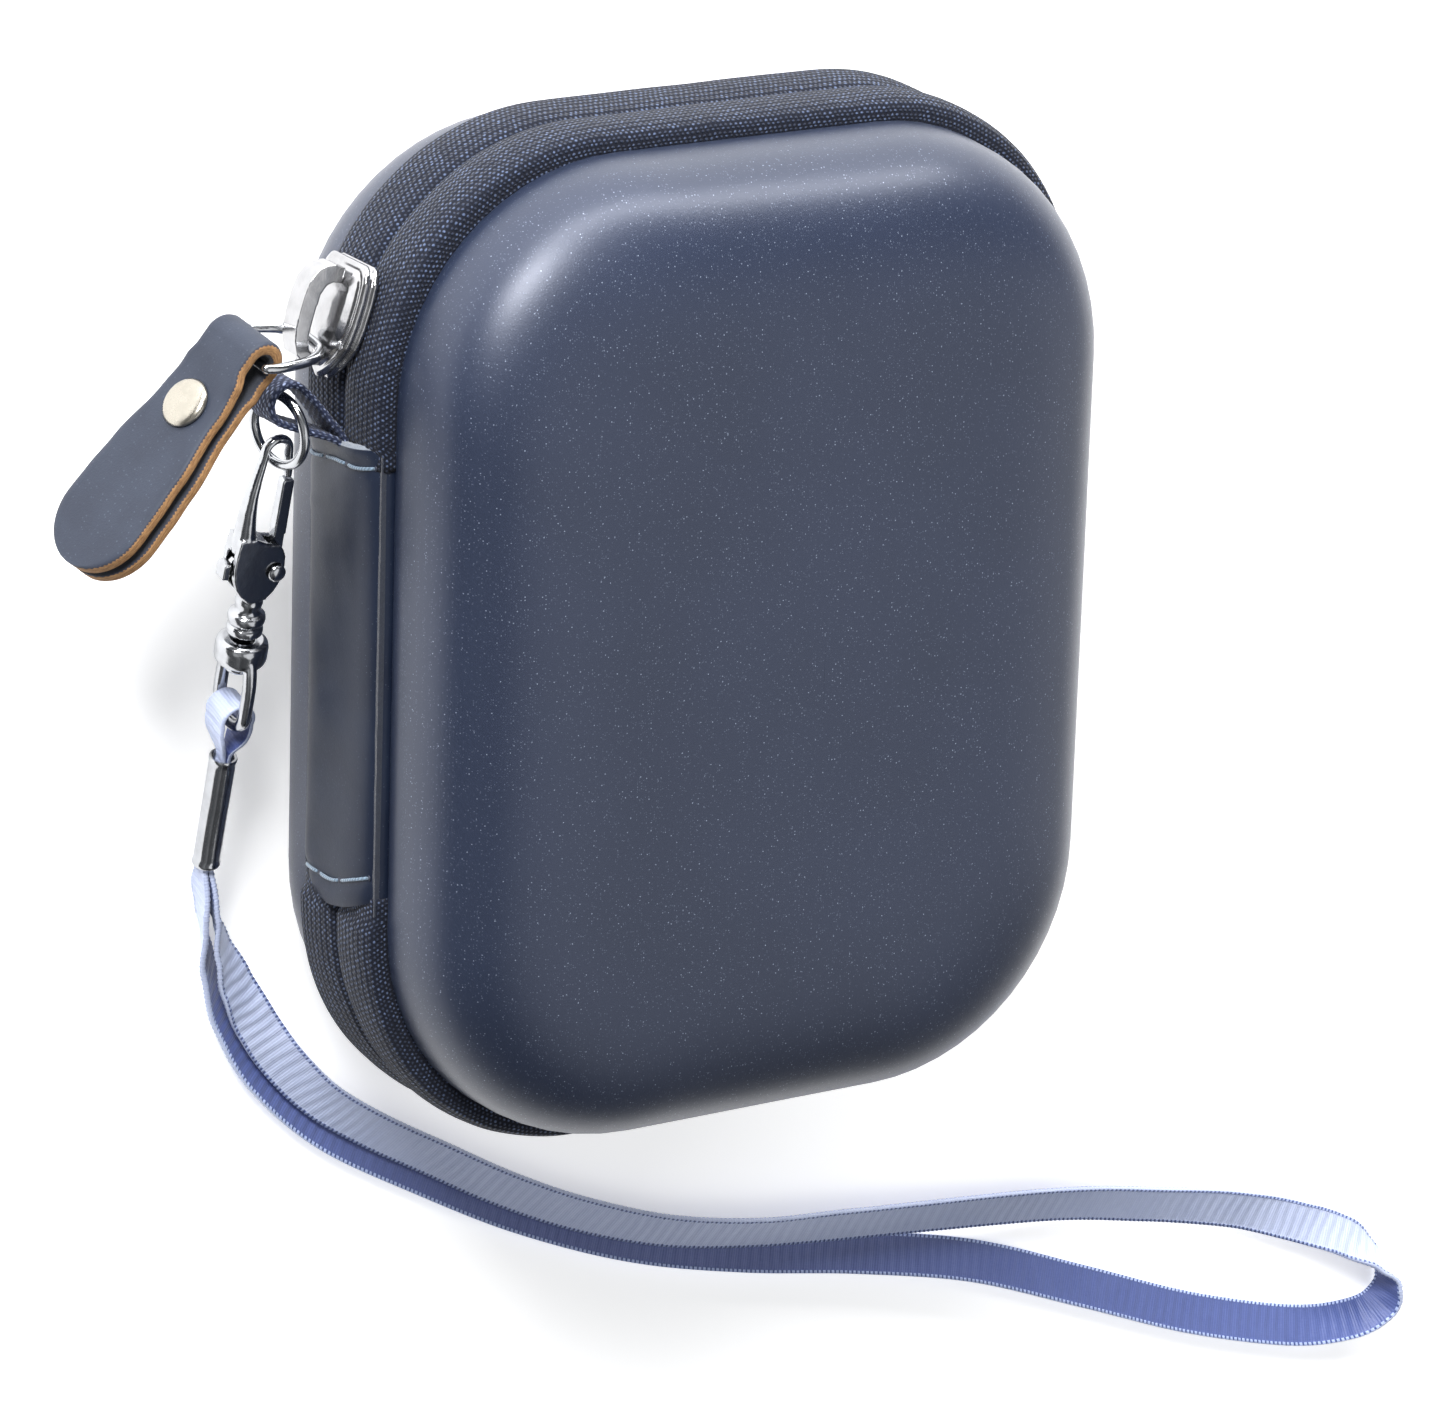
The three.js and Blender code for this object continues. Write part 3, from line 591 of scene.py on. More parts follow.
def framed(origin, along, z_axis):
    """Matrix of a frame whose X axis follows a direction and whose Z axis is the given one."""
    z = Vector(z_axis).normalized()
    x = Vector(along)
    x = (x - z * x.dot(z)).normalized()
    y = z.cross(x)
    return Matrix.Translation(origin) @ Matrix((x, y, z)).transposed().to_4x4()


def moved(turn, shape):
    points, faces = shape
    return [turn @ Vector(p) for p in points], faces


def circle(count):
    """(cosine, sine) pairs at equal steps of a turn."""
    return [(math.cos(2 * math.pi * k / count), math.sin(2 * math.pi * k / count))
            for k in range(count)]


def arc(centre, radius, start, stop, step):
    """Points on a circle at angles in degrees."""
    turns = [math.radians(a) for a in range(start, stop, step)]
    return [(centre[0] + radius * math.cos(a), centre[1] + radius * math.sin(a)) for a in turns]


def joined(*shapes):
    points, faces = [], []
    for more, skin in shapes:
        base = len(points)
        points.extend(more)
        faces.extend(tuple(base + i for i in face) for face in skin)
    return points, faces


def wobble(point, size, seed=0.0):
    """Smooth noise of -1 to 1 at a point, with lumps of about size mm."""
    return noise.noise(Vector(point) / size + Vector((seed, 3.1 * seed, -seed)))


def fused(name, shapes, finishes, voxel, rounds, turn=Matrix.Identity(4), **options):
    """Closed overlapping shapes melted into one casting with soft inner corners."""
    points, faces = joined(*[(p, turned_outward(p, f)) for p, f in shapes])
    mesh = bpy.data.meshes.new(name)
    mesh.from_pydata([Vector(p) for p in points], [], faces)
    rough = bpy.data.objects.new(name + "_rough", mesh)
    bpy.context.scene.collection.objects.link(rough)
    remesh = rough.modifiers.new("remesh", "REMESH")
    remesh.mode = "VOXEL"
    remesh.voxel_size = voxel
    smooth = rough.modifiers.new("smooth", "SMOOTH")
    smooth.factor = 0.5
    smooth.iterations = rounds
    evaluated = rough.evaluated_get(bpy.context.evaluated_depsgraph_get())
    result = evaluated.to_mesh()
    out_points = [turn @ v.co for v in result.vertices]
    out_faces = [tuple(f.vertices) for f in result.polygons]
    evaluated.to_mesh_clear()
    bpy.data.objects.remove(rough)
    bpy.data.meshes.remove(mesh)
    return add_piece(name, out_points, out_faces, finishes, **options)


# ---------------------------------------------------------------- ribbons and straps
def ribbon(path, fronts, half_widths, thickness, columns=12, edge_steps=2, relief=None):
    """Flat band along a path. fronts are its outer directions, half_widths one per point.

    Returns points, faces, uvs and a kind per face: 0 front, 1 cut edge, 2 back, 3 end.
    relief(s, share, face) gives the extra height in mm of the front (+1) or back (-1) face.
    """
    runs = tangents(path)
    reach = lengths(path)
    spots = [(2 * j / columns - 1, 1.0) for j in range(columns + 1)]
    spots += [(1.0, 1 - 2 * (k + 1) / (edge_steps + 1)) for k in range(edge_steps)]
    spots += [(1 - 2 * j / columns, -1.0) for j in range(columns + 1)]
    spots += [(-1.0, 2 * (k + 1) / (edge_steps + 1) - 1) for k in range(edge_steps)]
    rings = []
    for i, point in enumerate(path):
        front = (fronts[i] - runs[i] * fronts[i].dot(runs[i])).normalized()
        across = runs[i].cross(front)
        ring = []
        for share, level in spots:
            swell = 0.0
            if relief and abs(level) == 1:
                swell = relief(reach[i], share, level)
            bulge = 0.0 if abs(level) == 1 else 0.12 * thickness
            side = share * half_widths[i] + (bulge if share > 0 else -bulge)
            ring.append(point + across * side + front * (level * (thickness / 2 + swell)))
        rings.append(ring)
    points, faces = lattice(rings)
    count = len(spots)
    uvs, kinds = [], []
    for face in faces:
        if len(face) > 4:
            uvs.append([(0, 0)] * len(face))
            kinds.append(3)
            continue
        first = face[0] % count
        second = face[1] % count
        (share_a, level_a), (share_b, level_b) = spots[first], spots[second]
        edge = abs(level_a) < 1 or abs(level_b) < 1 or (share_a == share_b)
        kinds.append(1 if edge else (0 if level_a > 0 else 2))
        corners = []
        for index in face:
            row, spot = divmod(index, count)
            share, level = spots[spot]
            v = level * thickness / 2 if edge else share * half_widths[row]
            corners.append((reach[row], v))
        uvs.append(corners)
    return points, faces, uvs, kinds


def flat_band(path):
    """Outer directions of a band whose path turns in the XY plane."""
    return [Vector((run.y, -run.x, 0)) for run in tangents(path)]


# Route of the ribbon's middle and the turn of its outer face about its length in degrees:
# 0 faces up, 90 faces left of its run.
STRAP_ROUTE = [
    (-49.57, -25.3, 6.83, 90), (-49.45, -29, 5.7, 90), (-48.2, -33.5, 4.6, 75),
    (-46.6, -38.5, 3.9, 50), (-44.6, -43.2, 3.4, 25), (-41.8, -48.5, 3, 0),
    (-38.2, -53.8, 2.9, -18), (-33.2, -59.2, 2.9, -28), (-26.5, -64, 2.9, -30),
    (-18.5, -68.8, 2.9, -30), (-9.5, -74.1, 2.9, -30), (0.5, -79, 2.9, -30),
    (12, -83.2, 2.9, -32), (24, -85.7, 2.9, -34), (37, -87.2, 2.6, -29),
    (66, -90.4, 1.7, -25), (81, -93.1, 1.7, -22),
    (93.5, -96, 1.7, -15), (102.5, -99.2, 1.8, 0), (110, -102.5, 2.2, 25),
    (114.6, -105.8, 2.8, 60), (116.6, -109.2, 3, 90), (115.6, -112.3, 2.7, 120),
    (111.5, -113.9, 1.9, 145), (103, -113.2, 1.4, 158), (88, -108.7, 1.3, 160),
    (72, -102.2, 1.3, 160), (56, -95.9, 1.2, 162), (40, -91.9, 1, 166),
    (24, -88.7, 0.95, 168), (9, -84.6, 0.95, 168), (-6, -78.3, 0.95, 168),
    (-19.5, -70.9, 0.95, 168), (-31.5, -63.5, 1, 166), (-40, -55.3, 1.3, 160),
    (-44.8, -47.6, 1.7, 150), (-47.7, -40.6, 2.6, 130), (-49.2, -34.6, 4.1, 108),
    (-50.13, -29.3, 5.6, 92), (-50.17, -25.3, 6.83, 90),
]


def strap_relief(s, share, level):
    """Puckers across the satin every millimetre and a half, and rounded selvedges."""
    phase = s / 1.5 + 0.35 * noise.noise(Vector((s / 9, share * 0.8, 2.0)))
    ridge = math.sin(2 * math.pi * phase + 0.8 * share)
    inner = max(0.0, 1 - abs(share) ** 6)
    deep = 0.055 + 0.03 * noise.noise(Vector((s / 14, 5.0, 1.0)))
    selvedge = 0.06 * (1 + math.sin(2 * math.pi * s / 0.62)) if abs(share) > 0.93 else 0.0
    return ridge * inner * deep + selvedge


STRAP_SAMPLES = 2300
GATHER_START = 2.4  # the ribbon is gathered this far out of the ferrule, then widens
GATHER_RUN = 7
GATHERED = 0.3  # share of the width left inside the ferrule
SWIVEL_SAMPLES = 60  # samples from the ribbon's swivel end; the result read with it is not used


def wrist_strap():
    middle = smooth_path([p[:3] for p in STRAP_ROUTE], STRAP_SAMPLES)
    # At each sample the turn eases between those of the route's points on either side.
    reach = lengths([Vector(p[:3]) for p in STRAP_ROUTE])
    fronts = []
    runs = tangents(middle)
    j = 0
    for i, run in enumerate(runs):
        target = reach[-1] * i / (STRAP_SAMPLES - 1)
        while j < len(reach) - 2 and reach[j + 1] < target:
            j += 1
        share = (target - reach[j]) / (reach[j + 1] - reach[j])
        share = share * share * (3 - 2 * share)
        turn = math.radians(STRAP_ROUTE[j][3] * (1 - share) + STRAP_ROUTE[j + 1][3] * share)
        left = Vector((0, 0, 1)).cross(run).normalized()
        up = run.cross(left)
        fronts.append(up * math.cos(turn) + left * math.sin(turn))
    halves = []
    for i in range(STRAP_SAMPLES):
        near_end = min(i, STRAP_SAMPLES - 1 - i) * reach[-1] / STRAP_SAMPLES
        gather = min(1.0, max(0.0, (near_end - GATHER_START) / GATHER_RUN))
        spread = GATHERED + (1 - GATHERED) * math.sin(gather * math.pi / 2)
        halves.append(RIBBON_WIDTH / 2 * spread)
    points, faces, uvs, kinds = ribbon(middle, fronts, halves, RIBBON_THICKNESS, 14, 1,
                                       strap_relief)
    picks = [1 if kind == 2 else 0 for kind in kinds]
    piece = add_piece("wrist_strap_ribbon", points, faces, [SATIN, SATIN_BACK_AND_SHADE], uvs=uvs,
                      picks=picks)
    middle[0] * MM
    middle[SWIVEL_SAMPLES] * MM
    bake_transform(piece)
    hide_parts("wrist_strap")
    middle[0] * MM
    [p * MM for p in middle[::10]] + [middle[-1] * MM]


wrist_strap()


# ---------------------------------------------------------------- the case's outline
CORNERS = ((-1, 1, 180), (1, 1, 90), (1, -1, 0), (-1, -1, -90))
CORNER_STEPS = 14
SIDE_STEPS = 14
CORNER_SHRINK = 0.6  # of the corner radius for each mm of inset


def outline(inset):
    """Points clockwise from the left side's top end: x, y, and the outward normal."""
    radius = CORNER_RADIUS - inset * CORNER_SHRINK
    corner_points = []
    for sx, sy, start in CORNERS:
        for i in range(CORNER_STEPS + 1):
            angle = math.radians(start - 90 * i / CORNER_STEPS)
            nx, ny = math.cos(angle), math.sin(angle)
            corner_points.append((sx * (HALF_WIDTH - inset - radius) + radius * nx,
                                  sy * (HALF_LENGTH - inset - radius) + radius * ny, nx, ny))
    points = []
    for c in range(4):
        run = corner_points[c * (CORNER_STEPS + 1):(c + 1) * (CORNER_STEPS + 1)]
        points.extend(run)
        after = corner_points[(c + 1) * (CORNER_STEPS + 1) % len(corner_points)]
        for k in range(1, SIDE_STEPS):
            t = k / SIDE_STEPS
            points.append(tuple(a + (b - a) * t for a, b in zip(run[-1], after)))
    return points


def side_of(z, half):
    """Height z of the back half, or the same place mirrored in the seam for the front half."""
    return z if half == "back" else CASE_DEPTH - z


def dome_rings(offset, steps, half, unevenness=0.0):
    rings = []
    run = DOME_RUN - offset * 0.3
    rise = DOME_DEPTH - offset
    for i in range(steps + 1):
        angle = math.pi / 2 * i / steps
        inset = DOME_STEP + offset + run * (1 - max(math.cos(angle), 0) ** (2 / DOME_POWER))
        height = rise * math.sin(angle) ** (2 / DOME_POWER)
        rings.append((inset, height))
    rings += [(DOME_STEP + offset + run + extra, rise) for extra in (4, 8, 12, 15)]
    out = []
    for inset, height in rings:
        share = min(1.0, height / rise)
        ring = []
        for x, y, nx, ny in outline(inset):
            push = unevenness * wobble((x, y, height), 22, 1.0 if half == "front" else 4.0)
            side = push * (1 - share)
            lift = height - max(0.0, push + unevenness * 0.6) * share
            ring.append(Vector((x + nx * side, y + ny * side,
                                side_of(BAND_BOTTOM - lift, half))))
        out.append(ring)
    return out


def dome_cover(half):
    """Moulded dome: its outer skin, rolled under at the rim, and its inner face."""
    outer = dome_rings(0, 30, half, 0.16)
    inner = dome_rings(SHELL_THICKNESS, 16, half)
    rim = []
    for inset, drop in ((2.9, 0.0), (2.35, -0.05), (2.02, 0.12), (1.9, 0.42)):
        rim.append([Vector((x, y, side_of(BAND_BOTTOM - drop, half)))
                    for x, y, _, _ in outline(inset)])
    points, faces = lattice([*reversed(inner), *rim, *outer[1:]])
    add_piece(half + "_dome_cover", points, faces, [LEATHER], half + "_half",
              "shell_leather", [half + "_shell"], crease=50)


def dome_lining(half):
    offset = SHELL_THICKNESS + GAP
    outer = dome_rings(offset, 14, half)
    inner = dome_rings(offset + LINING_THICKNESS, 14, half, 0.12)
    points, faces = lattice([*reversed(inner), *outer])
    add_piece(half + "_fabric_lining", points, faces, [LINING], half + "_half", "lining",
              [half + "_lining"], crease=50)


# ---------------------------------------------------------------- zip tapes and coils
def zip_stations(step, top, bottom):
    """Places round the three zipped sides: x, y, outward normal, distance along."""
    places = [(-HALF_WIDTH, top, -1.0, 0.0)]
    corner_steps = int(CORNER_RADIUS * math.pi / 2 / step)
    sides = (2 * CORNER_X, 2 * CORNER_Y, 2 * CORNER_X, CORNER_Y - abs(bottom))
    rise = int((CORNER_Y - top) / step) + 1
    for k in range(1, rise):
        places.append((-HALF_WIDTH, top + (CORNER_Y - top) * k / rise, -1.0, 0.0))
    for (sx, sy, start), side in zip(CORNERS, sides):
        for i in range(corner_steps + 1):
            angle = math.radians(start - 90 * i / corner_steps)
            nx, ny = math.cos(angle), math.sin(angle)
            places.append((sx * CORNER_X + CORNER_RADIUS * nx,
                           sy * CORNER_Y + CORNER_RADIUS * ny, nx, ny))
        x, y, nx, ny = places[-1]
        count = max(1, int(side / step))
        for k in range(1, count):
            places.append((x + ny * side * k / count, y - nx * side * k / count, nx, ny))
    places.append((-HALF_WIDTH, bottom, -1.0, 0.0))
    out = []
    far = 0.0
    last = None
    for x, y, nx, ny in places:
        if last:
            far += math.hypot(x - last[0], y - last[1])
        last = (x, y)
        out.append((x, y, nx, ny, far))
    return out


def band_point(station, inset, height, half):
    """Point at a station, by its inset from the outline and its height above the band's edge."""
    x, y, nx, ny, _ = station
    return Vector((x - nx * inset, y - ny * inset, side_of(BAND_BOTTOM + height, half)))


# Section of a tape as (inset, height above the band's edge), from the flange sewn under the
# dome over the bulge to the seam, and back inside.
TAPE_OUTSIDE = ((4.7, 0.04), (3.4, 0.04), (2.1, 0.06), (1.3, 0.02), (0.6, 0.1), (0.12, 0.4),
                (-0.18, 0.95), (-0.4, 1.7), (-0.52, 2.7), (-0.55, 3.8), (-0.5, 4.9),
                (-0.36, 5.9), (-0.15, 6.8), (0.1, 7.45), (0.45, 7.8), (0.9, 7.86))
TAPE_INSIDE = ((1.25, 7.7), (1.3, 6), (1.3, 3.5), (1.35, 1.2), (1.7, 0.4), (4.7, 0.28))


def zip_tape(half):
    """Woven tape with ribs along its length, tucked under the spine's ends."""
    section = smooth_path([(a, b, 0) for a, b in TAPE_OUTSIDE], 68)
    girth = lengths(section)
    rings, reach = [], []
    for station in zip_stations(0.9, SPINE_TOP - 1.6, SPINE_BOTTOM + 2):
        x, y = station[:2]
        on_spine_side = x < -HALF_WIDTH + 0.01 and SPINE_BOTTOM - 1.2 < y < SPINE_TOP + 0.6
        under = 1.0 if on_spine_side else 0.0
        ring = []
        for j, point in enumerate(section):
            rib = 0.05 * math.sin(2 * math.pi * girth[j] / 0.88)
            sag = 0.1 * wobble((x, y, point.y * 2), 7, 2.0)
            inset = point.x - (rib + sag) * (1 - under) + 0.55 * under
            ring.append(band_point(station, inset, point.y, half))
        ring += [band_point(station, inset, height, half) for inset, height in TAPE_INSIDE]
        rings.append(ring)
        reach.append(station[-1])
    points, faces = lattice(rings)
    count = len(rings[0])
    widths = girth + [girth[-1] + 1 + k for k in range(len(TAPE_INSIDE))]
    faces = turned_outward(points, faces)
    uvs = [[(reach[i // count], widths[i % count]) for i in face] for face in faces]
    add_piece(half + "_woven_tape", points, faces, [TAPE], half + "_half", "tape",
              [half + "_zip_tape"], uvs)


COIL_PITCH = 1.15
COIL_STEP = 0.115
COIL_WIRE = 0.2
COIL_INSET, COIL_HEIGHT = 2.1, 6.55  # of the spiral's middle
COIL_ACROSS, COIL_UP = 0.5, 0.85  # its radii
SLIDER_ROOM = 22.2  # length of the front coil left out where the slider stands


def zip_coil(half):
    """Spiral of nylon monofilament sewn along the tape's inner edge."""
    offset = 0.0 if half == "back" else COIL_PITCH / 2
    path = []
    for station in zip_stations(COIL_STEP, SPINE_TOP + 1.4, SPINE_BOTTOM - 0.4):
        if half == "front" and station[-1] < SLIDER_ROOM:
            continue
        turn = 2 * math.pi * (station[-1] + offset) / COIL_PITCH
        path.append(band_point(station, COIL_INSET - COIL_ACROSS * math.cos(turn),
                               COIL_HEIGHT + COIL_UP * math.sin(turn), half))
    points, faces = tube(path, COIL_WIRE, 6)
    add_piece(half + "_spiral_coil", points, faces, [NYLON],
              half + "_half", "coil", [half + "_zip_coil"])


def seam_binding(half):
    """Bias tape folded over the raw edges where the lining meets the zip."""
    section = [(2.1 + 0.5 * c ** 3 + 0.05 * c, 1.7 + 1.2 * s) for c, s in circle(16)]
    rings, reach = [], []
    for station in zip_stations(1.6, SPINE_TOP + 1.3, SPINE_BOTTOM - 0.3):
        ring = []
        for inset, height in section:
            wave = 0.08 * wobble((*station[:2], height * 2), 4, 7.0)
            ring.append(band_point(station, inset + wave, height + wave, half))
        rings.append(ring)
        reach.append(station[-1])
    points, faces = lattice(rings)
    faces = turned_outward(points, faces)
    uvs = [[(reach[i // 16], (i % 16) * 0.35) for i in face] for face in faces]
    add_piece(half + "_bias_binding", points, faces, [BINDING], half + "_half", "lining",
              [half + "_binding"], uvs)


for side in ("back", "front"):
    dome_cover(side)
    dome_lining(side)
    zip_tape(side)
    zip_coil(side)
    seam_binding(side)


# ---------------------------------------------------------------- spine
SPINE_REACH = 7.85  # from the seam to the crease under either dome
SPINE_EDGE_INSET = 1.95
SPINE_CROWN = 2.95  # how far the strip stands out of its edges
SPINE_WAIST = 0.45
SPINE_THICKNESS = 0.8
SPINE_LINING_REACH = 7.7
STITCH_DIP = 0.3


def spine_end(end, share):
    """Y of the strip's top or bottom edge at a share of its width."""
    if end == "top":
        return SPINE_TOP + 0.3 + 0.55 * share + 0.4 * share * abs(share)
    return SPINE_BOTTOM - 0.6 + 0.8 * share + 1.6 * max(share, 0.0) ** 2


def stitch_line(end, share):
    if end == "top":
        return spine_end(end, share) - 2.4
    return spine_end(end, share) + 2.9


def spine_inset(y, share):
    """How far inside the case's outline the strip's skin lies."""
    middle = (y - (SPINE_TOP + SPINE_BOTTOM) / 2) / ((SPINE_TOP - SPINE_BOTTOM) / 2)
    waist = SPINE_WAIST * max(0.0, 1 - middle * middle)
    round_over = max(0.0, 1 - abs(share) ** 4) ** 0.5
    skin = SPINE_EDGE_INSET - (SPINE_CROWN - waist) * round_over
    for end in ("top", "bottom"):
        skin += STITCH_DIP * math.exp(-((y - stitch_line(end, share)) / 0.8) ** 2) * round_over
    low = max(0.0, (spine_end("bottom", share) + 5 - y) / 5)
    skin += 1.8 * low * low * max(0.0, -share)
    fold = y - 18 - 0.35 * share * SPINE_REACH
    skin -= 0.16 * math.exp(-(fold / 0.7) ** 2) * max(0.0, -share) * round_over
    skin -= 0.13 * wobble((0, y + share * 5, share * 9), 8, 9.0) * round_over
    return skin


def spine_point(y, share, depth=0.0):
    return Vector((-HALF_WIDTH + spine_inset(y, share) + depth, y,
                   SEAM_Z + share * SPINE_REACH))


def spine_cover():
    """Leather strip that wraps the back side from crease to crease, with raw ends."""
    rows, columns = 120, 48
    rings = []
    for i in range(rows + 1):
        ring = []
        end = min(i, rows - i) / 2
        tuck = 0.16 * (1 - min(1.0, end)) ** 2
        for level, depth in ((1, tuck), (-1, SPINE_THICKNESS - tuck)):
            for j in range(columns + 1):
                share = level * math.sin((j / columns - 0.5) * math.pi * 0.999)
                low, high = spine_end("bottom", share), spine_end("top", share)
                if i == rows:
                    high -= 0.18 * abs(math.sin(share * 9.5)) ** 6
                y = low + (high - low) * i / rows
                ring.append(spine_point(y, share, depth))
        rings.append(ring)
    points, faces = lattice(rings)
    picks = [1 if len(face) > 4 or face_is_end(points, face) else 0 for face in faces]
    add_piece("spine_leather_strip", points, faces, [SPINE, SPINE_EDGE], "back_half",
              "spine_leather", ["spine_cover"], picks=picks, crease=60)


def face_is_end(points, face):
    """True for the strip's last row of faces at its top, where the backing shows."""
    return all(points[i].y > spine_end("top", (points[i].z - SEAM_Z) / SPINE_REACH) - 0.5
               for i in face)


STITCHES = ((-6.9, -2.6), (-2.3, 2.3), (2.6, 6.9))


def stitches():
    """Two rows of long stitches across the spine, dipping into a hole at each end."""
    shapes, uvs, pits = [], [], []
    for row, end in enumerate(("top", "bottom")):
        for k, (low, high) in enumerate(STITCHES):
            path = []
            for j in range(17):
                t = j / 16
                share = (low + (high - low) * t) / SPINE_REACH
                sway = 0.12 * math.sin(math.pi * t) * (1 if (k + row) % 2 else -1)
                sink = 0.42 * abs(2 * t - 1) ** 7
                point = spine_point(stitch_line(end, share) + sway, share)
                path.append(point + Vector((-0.14 + sink, 0, 0)))
            points, faces = tube(path, 0.2, 10)
            faces = turned_outward(points, faces)
            shapes.append((points, faces))
            uvs += [[(i // 10 * 0.3, i % 10 / 10) for i in face] for face in faces]
            for share in (low / SPINE_REACH, high / SPINE_REACH):
                spot = spine_point(stitch_line(end, share), share)
                turn = Matrix.Translation(spot) @ Matrix.Rotation(math.pi / 2, 4, "Z")
                pits.append(lathe([(0.05, -0.05), (0.3, -0.02), (0.34, 0.05), (0.05, 0.08)],
                                  14, turn))
    points, faces = joined(*shapes)
    add_piece("spine_stitches", points, faces, [THREAD], "back_half", "spine_leather", uvs=uvs)
    points, faces = joined(*pits)
    add_piece("needle_holes", points, faces, [NYLON], "back_half", "spine_leather")


def spine_lining():
    rings = []
    for i in range(61):
        y = SPINE_BOTTOM + (SPINE_TOP - SPINE_BOTTOM) * i / 60
        ring = []
        for way, inset, wave, seed, size in ((1, 0.62, 0.05, 1, 3), (-1, 1.38, 0.06, 5, 2)):
            for j in range(25):
                share = way * (2 * j / 24 - 1)
                x = -HALF_WIDTH + inset + wave * wobble((y, share * 8, seed), size)
                ring.append(Vector((x, y, SEAM_Z + share * SPINE_LINING_REACH)))
        rings.append(ring)
    points, faces = lattice(rings)
    add_piece("spine_fabric_lining", points, faces, [LINING],
              "back_half", "lining", ["spine_lining"], crease=50)


SPINE_EDGE = fabric("spine_raw_edge", (0.1, 0.12, 0.16), (0.42, 0.46, 0.52), 0.25, 0.1)
spine_cover()
stitches()
spine_lining()


# ---------------------------------------------------------------- webbing tab and its ring
TAB_RING_TOP = Vector((-50.3, 29.39, 23.49))
TAB_RING_BOTTOM = Vector((-50.3, 22, 21.33))
TAB_RING_TILT = Vector((0.26, 0, 0.966))
RING_WIRE = 0.55
TAB_HALF_WIDTH = 2.4
TAB_THICKNESS = 0.7


def weave_relief(s, share, level):
    """Ribs across a narrow webbing, thicker at its selvedges."""
    cross = math.sin(2 * math.pi * share * TAB_HALF_WIDTH / 0.9)
    rib = 0.03 * math.sin(2 * math.pi * s / 0.8) * cross
    rounded = -0.1 if abs(share) > 0.99 else 0.0
    selvedge = 0.05 if 0.75 < abs(share) <= 0.99 else 0.0
    return rib + rounded + selvedge


def webbing_tab():
    """Narrow woven band folded into a drop-shaped loop; both ends go under the spine."""
    loop = arc((-50.4, 29), 2.15, 40, 251, 15)
    upper = [(-43.55, 20.6), (-43.55, 23.4), (-44.1, 24.9), (-45.6, 26.75), (-47.2, 28.75)]
    lower = [(-49.2, 26.2), (-46.8, 25.3), (-44.8, 24.45), (-43.75, 23.2), (-43.6, 20.6)]
    path = smooth_path([(x, y, 22.7) for x, y in (*upper, *loop, *lower)], 190)
    halves = [TAB_HALF_WIDTH] * len(path)
    points, faces, uvs, _ = ribbon(path, flat_band(path), halves, TAB_THICKNESS, 16, 2,
                                   weave_relief)
    add_piece("webbing_loop", points, faces, [WEBBING], "back_half", "tape", ["webbing_tab"],
              uvs, crease=55)


def tab_ring():
    across = TAB_RING_BOTTOM - TAB_RING_TOP
    turn = framed(TAB_RING_TOP + across / 2, across, across.cross(TAB_RING_TILT))
    radius = across.length / 2
    path = [Vector((radius * c, radius * s, 0)) for c, s in circle(120)]
    points, faces = moved(turn, tube(path, RING_WIRE, 24, True))
    add_piece("tab_key_ring", points, faces, [NICKEL], "side_ring", "nickel", ["tab_ring"])


# ---------------------------------------------------------------- slider
SLIDER = Matrix.Translation((-CORNER_X - CORNER_RADIUS * math.cos(SLIDER_ANGLE),
                             CORNER_Y + CORNER_RADIUS * math.sin(SLIDER_ANGLE), SEAM_Z))
SLIDER = SLIDER @ Matrix.Rotation(math.pi - SLIDER_ANGLE, 4, "Z")
SLIDER_LENGTH = 12.8

# Half outline of the shield-shaped plate: share of its length, half width as the same share.
SHIELD = ((-0.5, 0.26), (-0.485, 0.29), (-0.43, 0.335), (-0.36, 0.36), (-0.2, 0.37), (0, 0.36),
          (0.12, 0.335), (0.2, 0.31), (0.3, 0.245), (0.39, 0.17), (0.46, 0.09), (0.5, 0.03))


def box_shape(low, high):
    points = [Vector((x, y, z)) for x in (low[0], high[0]) for y in (low[1], high[1])
              for z in (low[2], high[2])]
    faces = [(0, 1, 3, 2), (4, 6, 7, 5), (0, 4, 5, 1), (2, 3, 7, 6), (0, 2, 6, 4), (1, 5, 7, 3)]
    return points, faces


def slab(outline_points, low, high):
    """Flat plate over an outline in XY, from low to high."""
    count = len(outline_points)
    points = [Vector((x, y, z)) for z in (low, high) for x, y in outline_points]
    faces = [tuple(reversed(range(count))), tuple(range(count, 2 * count))]
    for i in range(count):
        j = (i + 1) % count
        faces.append((i, j, count + j, count + i))
    return points, faces


def shield_ring(x, scale, shift):
    side = [(y * scale * SLIDER_LENGTH + shift, z * scale * SLIDER_LENGTH) for y, z in SHIELD]
    return ([Vector((x, y, z)) for y, z in side]
            + [Vector((x, y, -z)) for y, z in reversed(side)])


def slider_body():
    """Plate with a grooved flange all round and a domed crown, its neck and its inner plate."""
    levels = [(0.85, 0.99, 0), (1.3, 1.0, 0), (1.45, 0.94, 0), (1.75, 0.94, 0), (1.95, 1.0, 0),
              (2.45, 1.0, 0), (2.7, 0.93, -0.05), (2.6, 0.86, -0.1), (2.85, 0.8, -0.2),
              (3.25, 0.62, -0.3), (3.5, 0.42, -0.4), (3.6, 0.2, -0.5)]
    plate = lattice([shield_ring(*level) for level in levels])
    neck = box_shape((-3.9, -5.6, -0.25), (1.1, -2.4, 0.25))
    inner = box_shape((-4.55, -4.2, -3.6), (-3.45, 4.2, 3.6))
    fused("slider_casting", [plate, neck, inner], [SLIDER_NICKEL], 0.11, 2, SLIDER,
          body="slider", slot="nickel", replaced=["slider_body"])


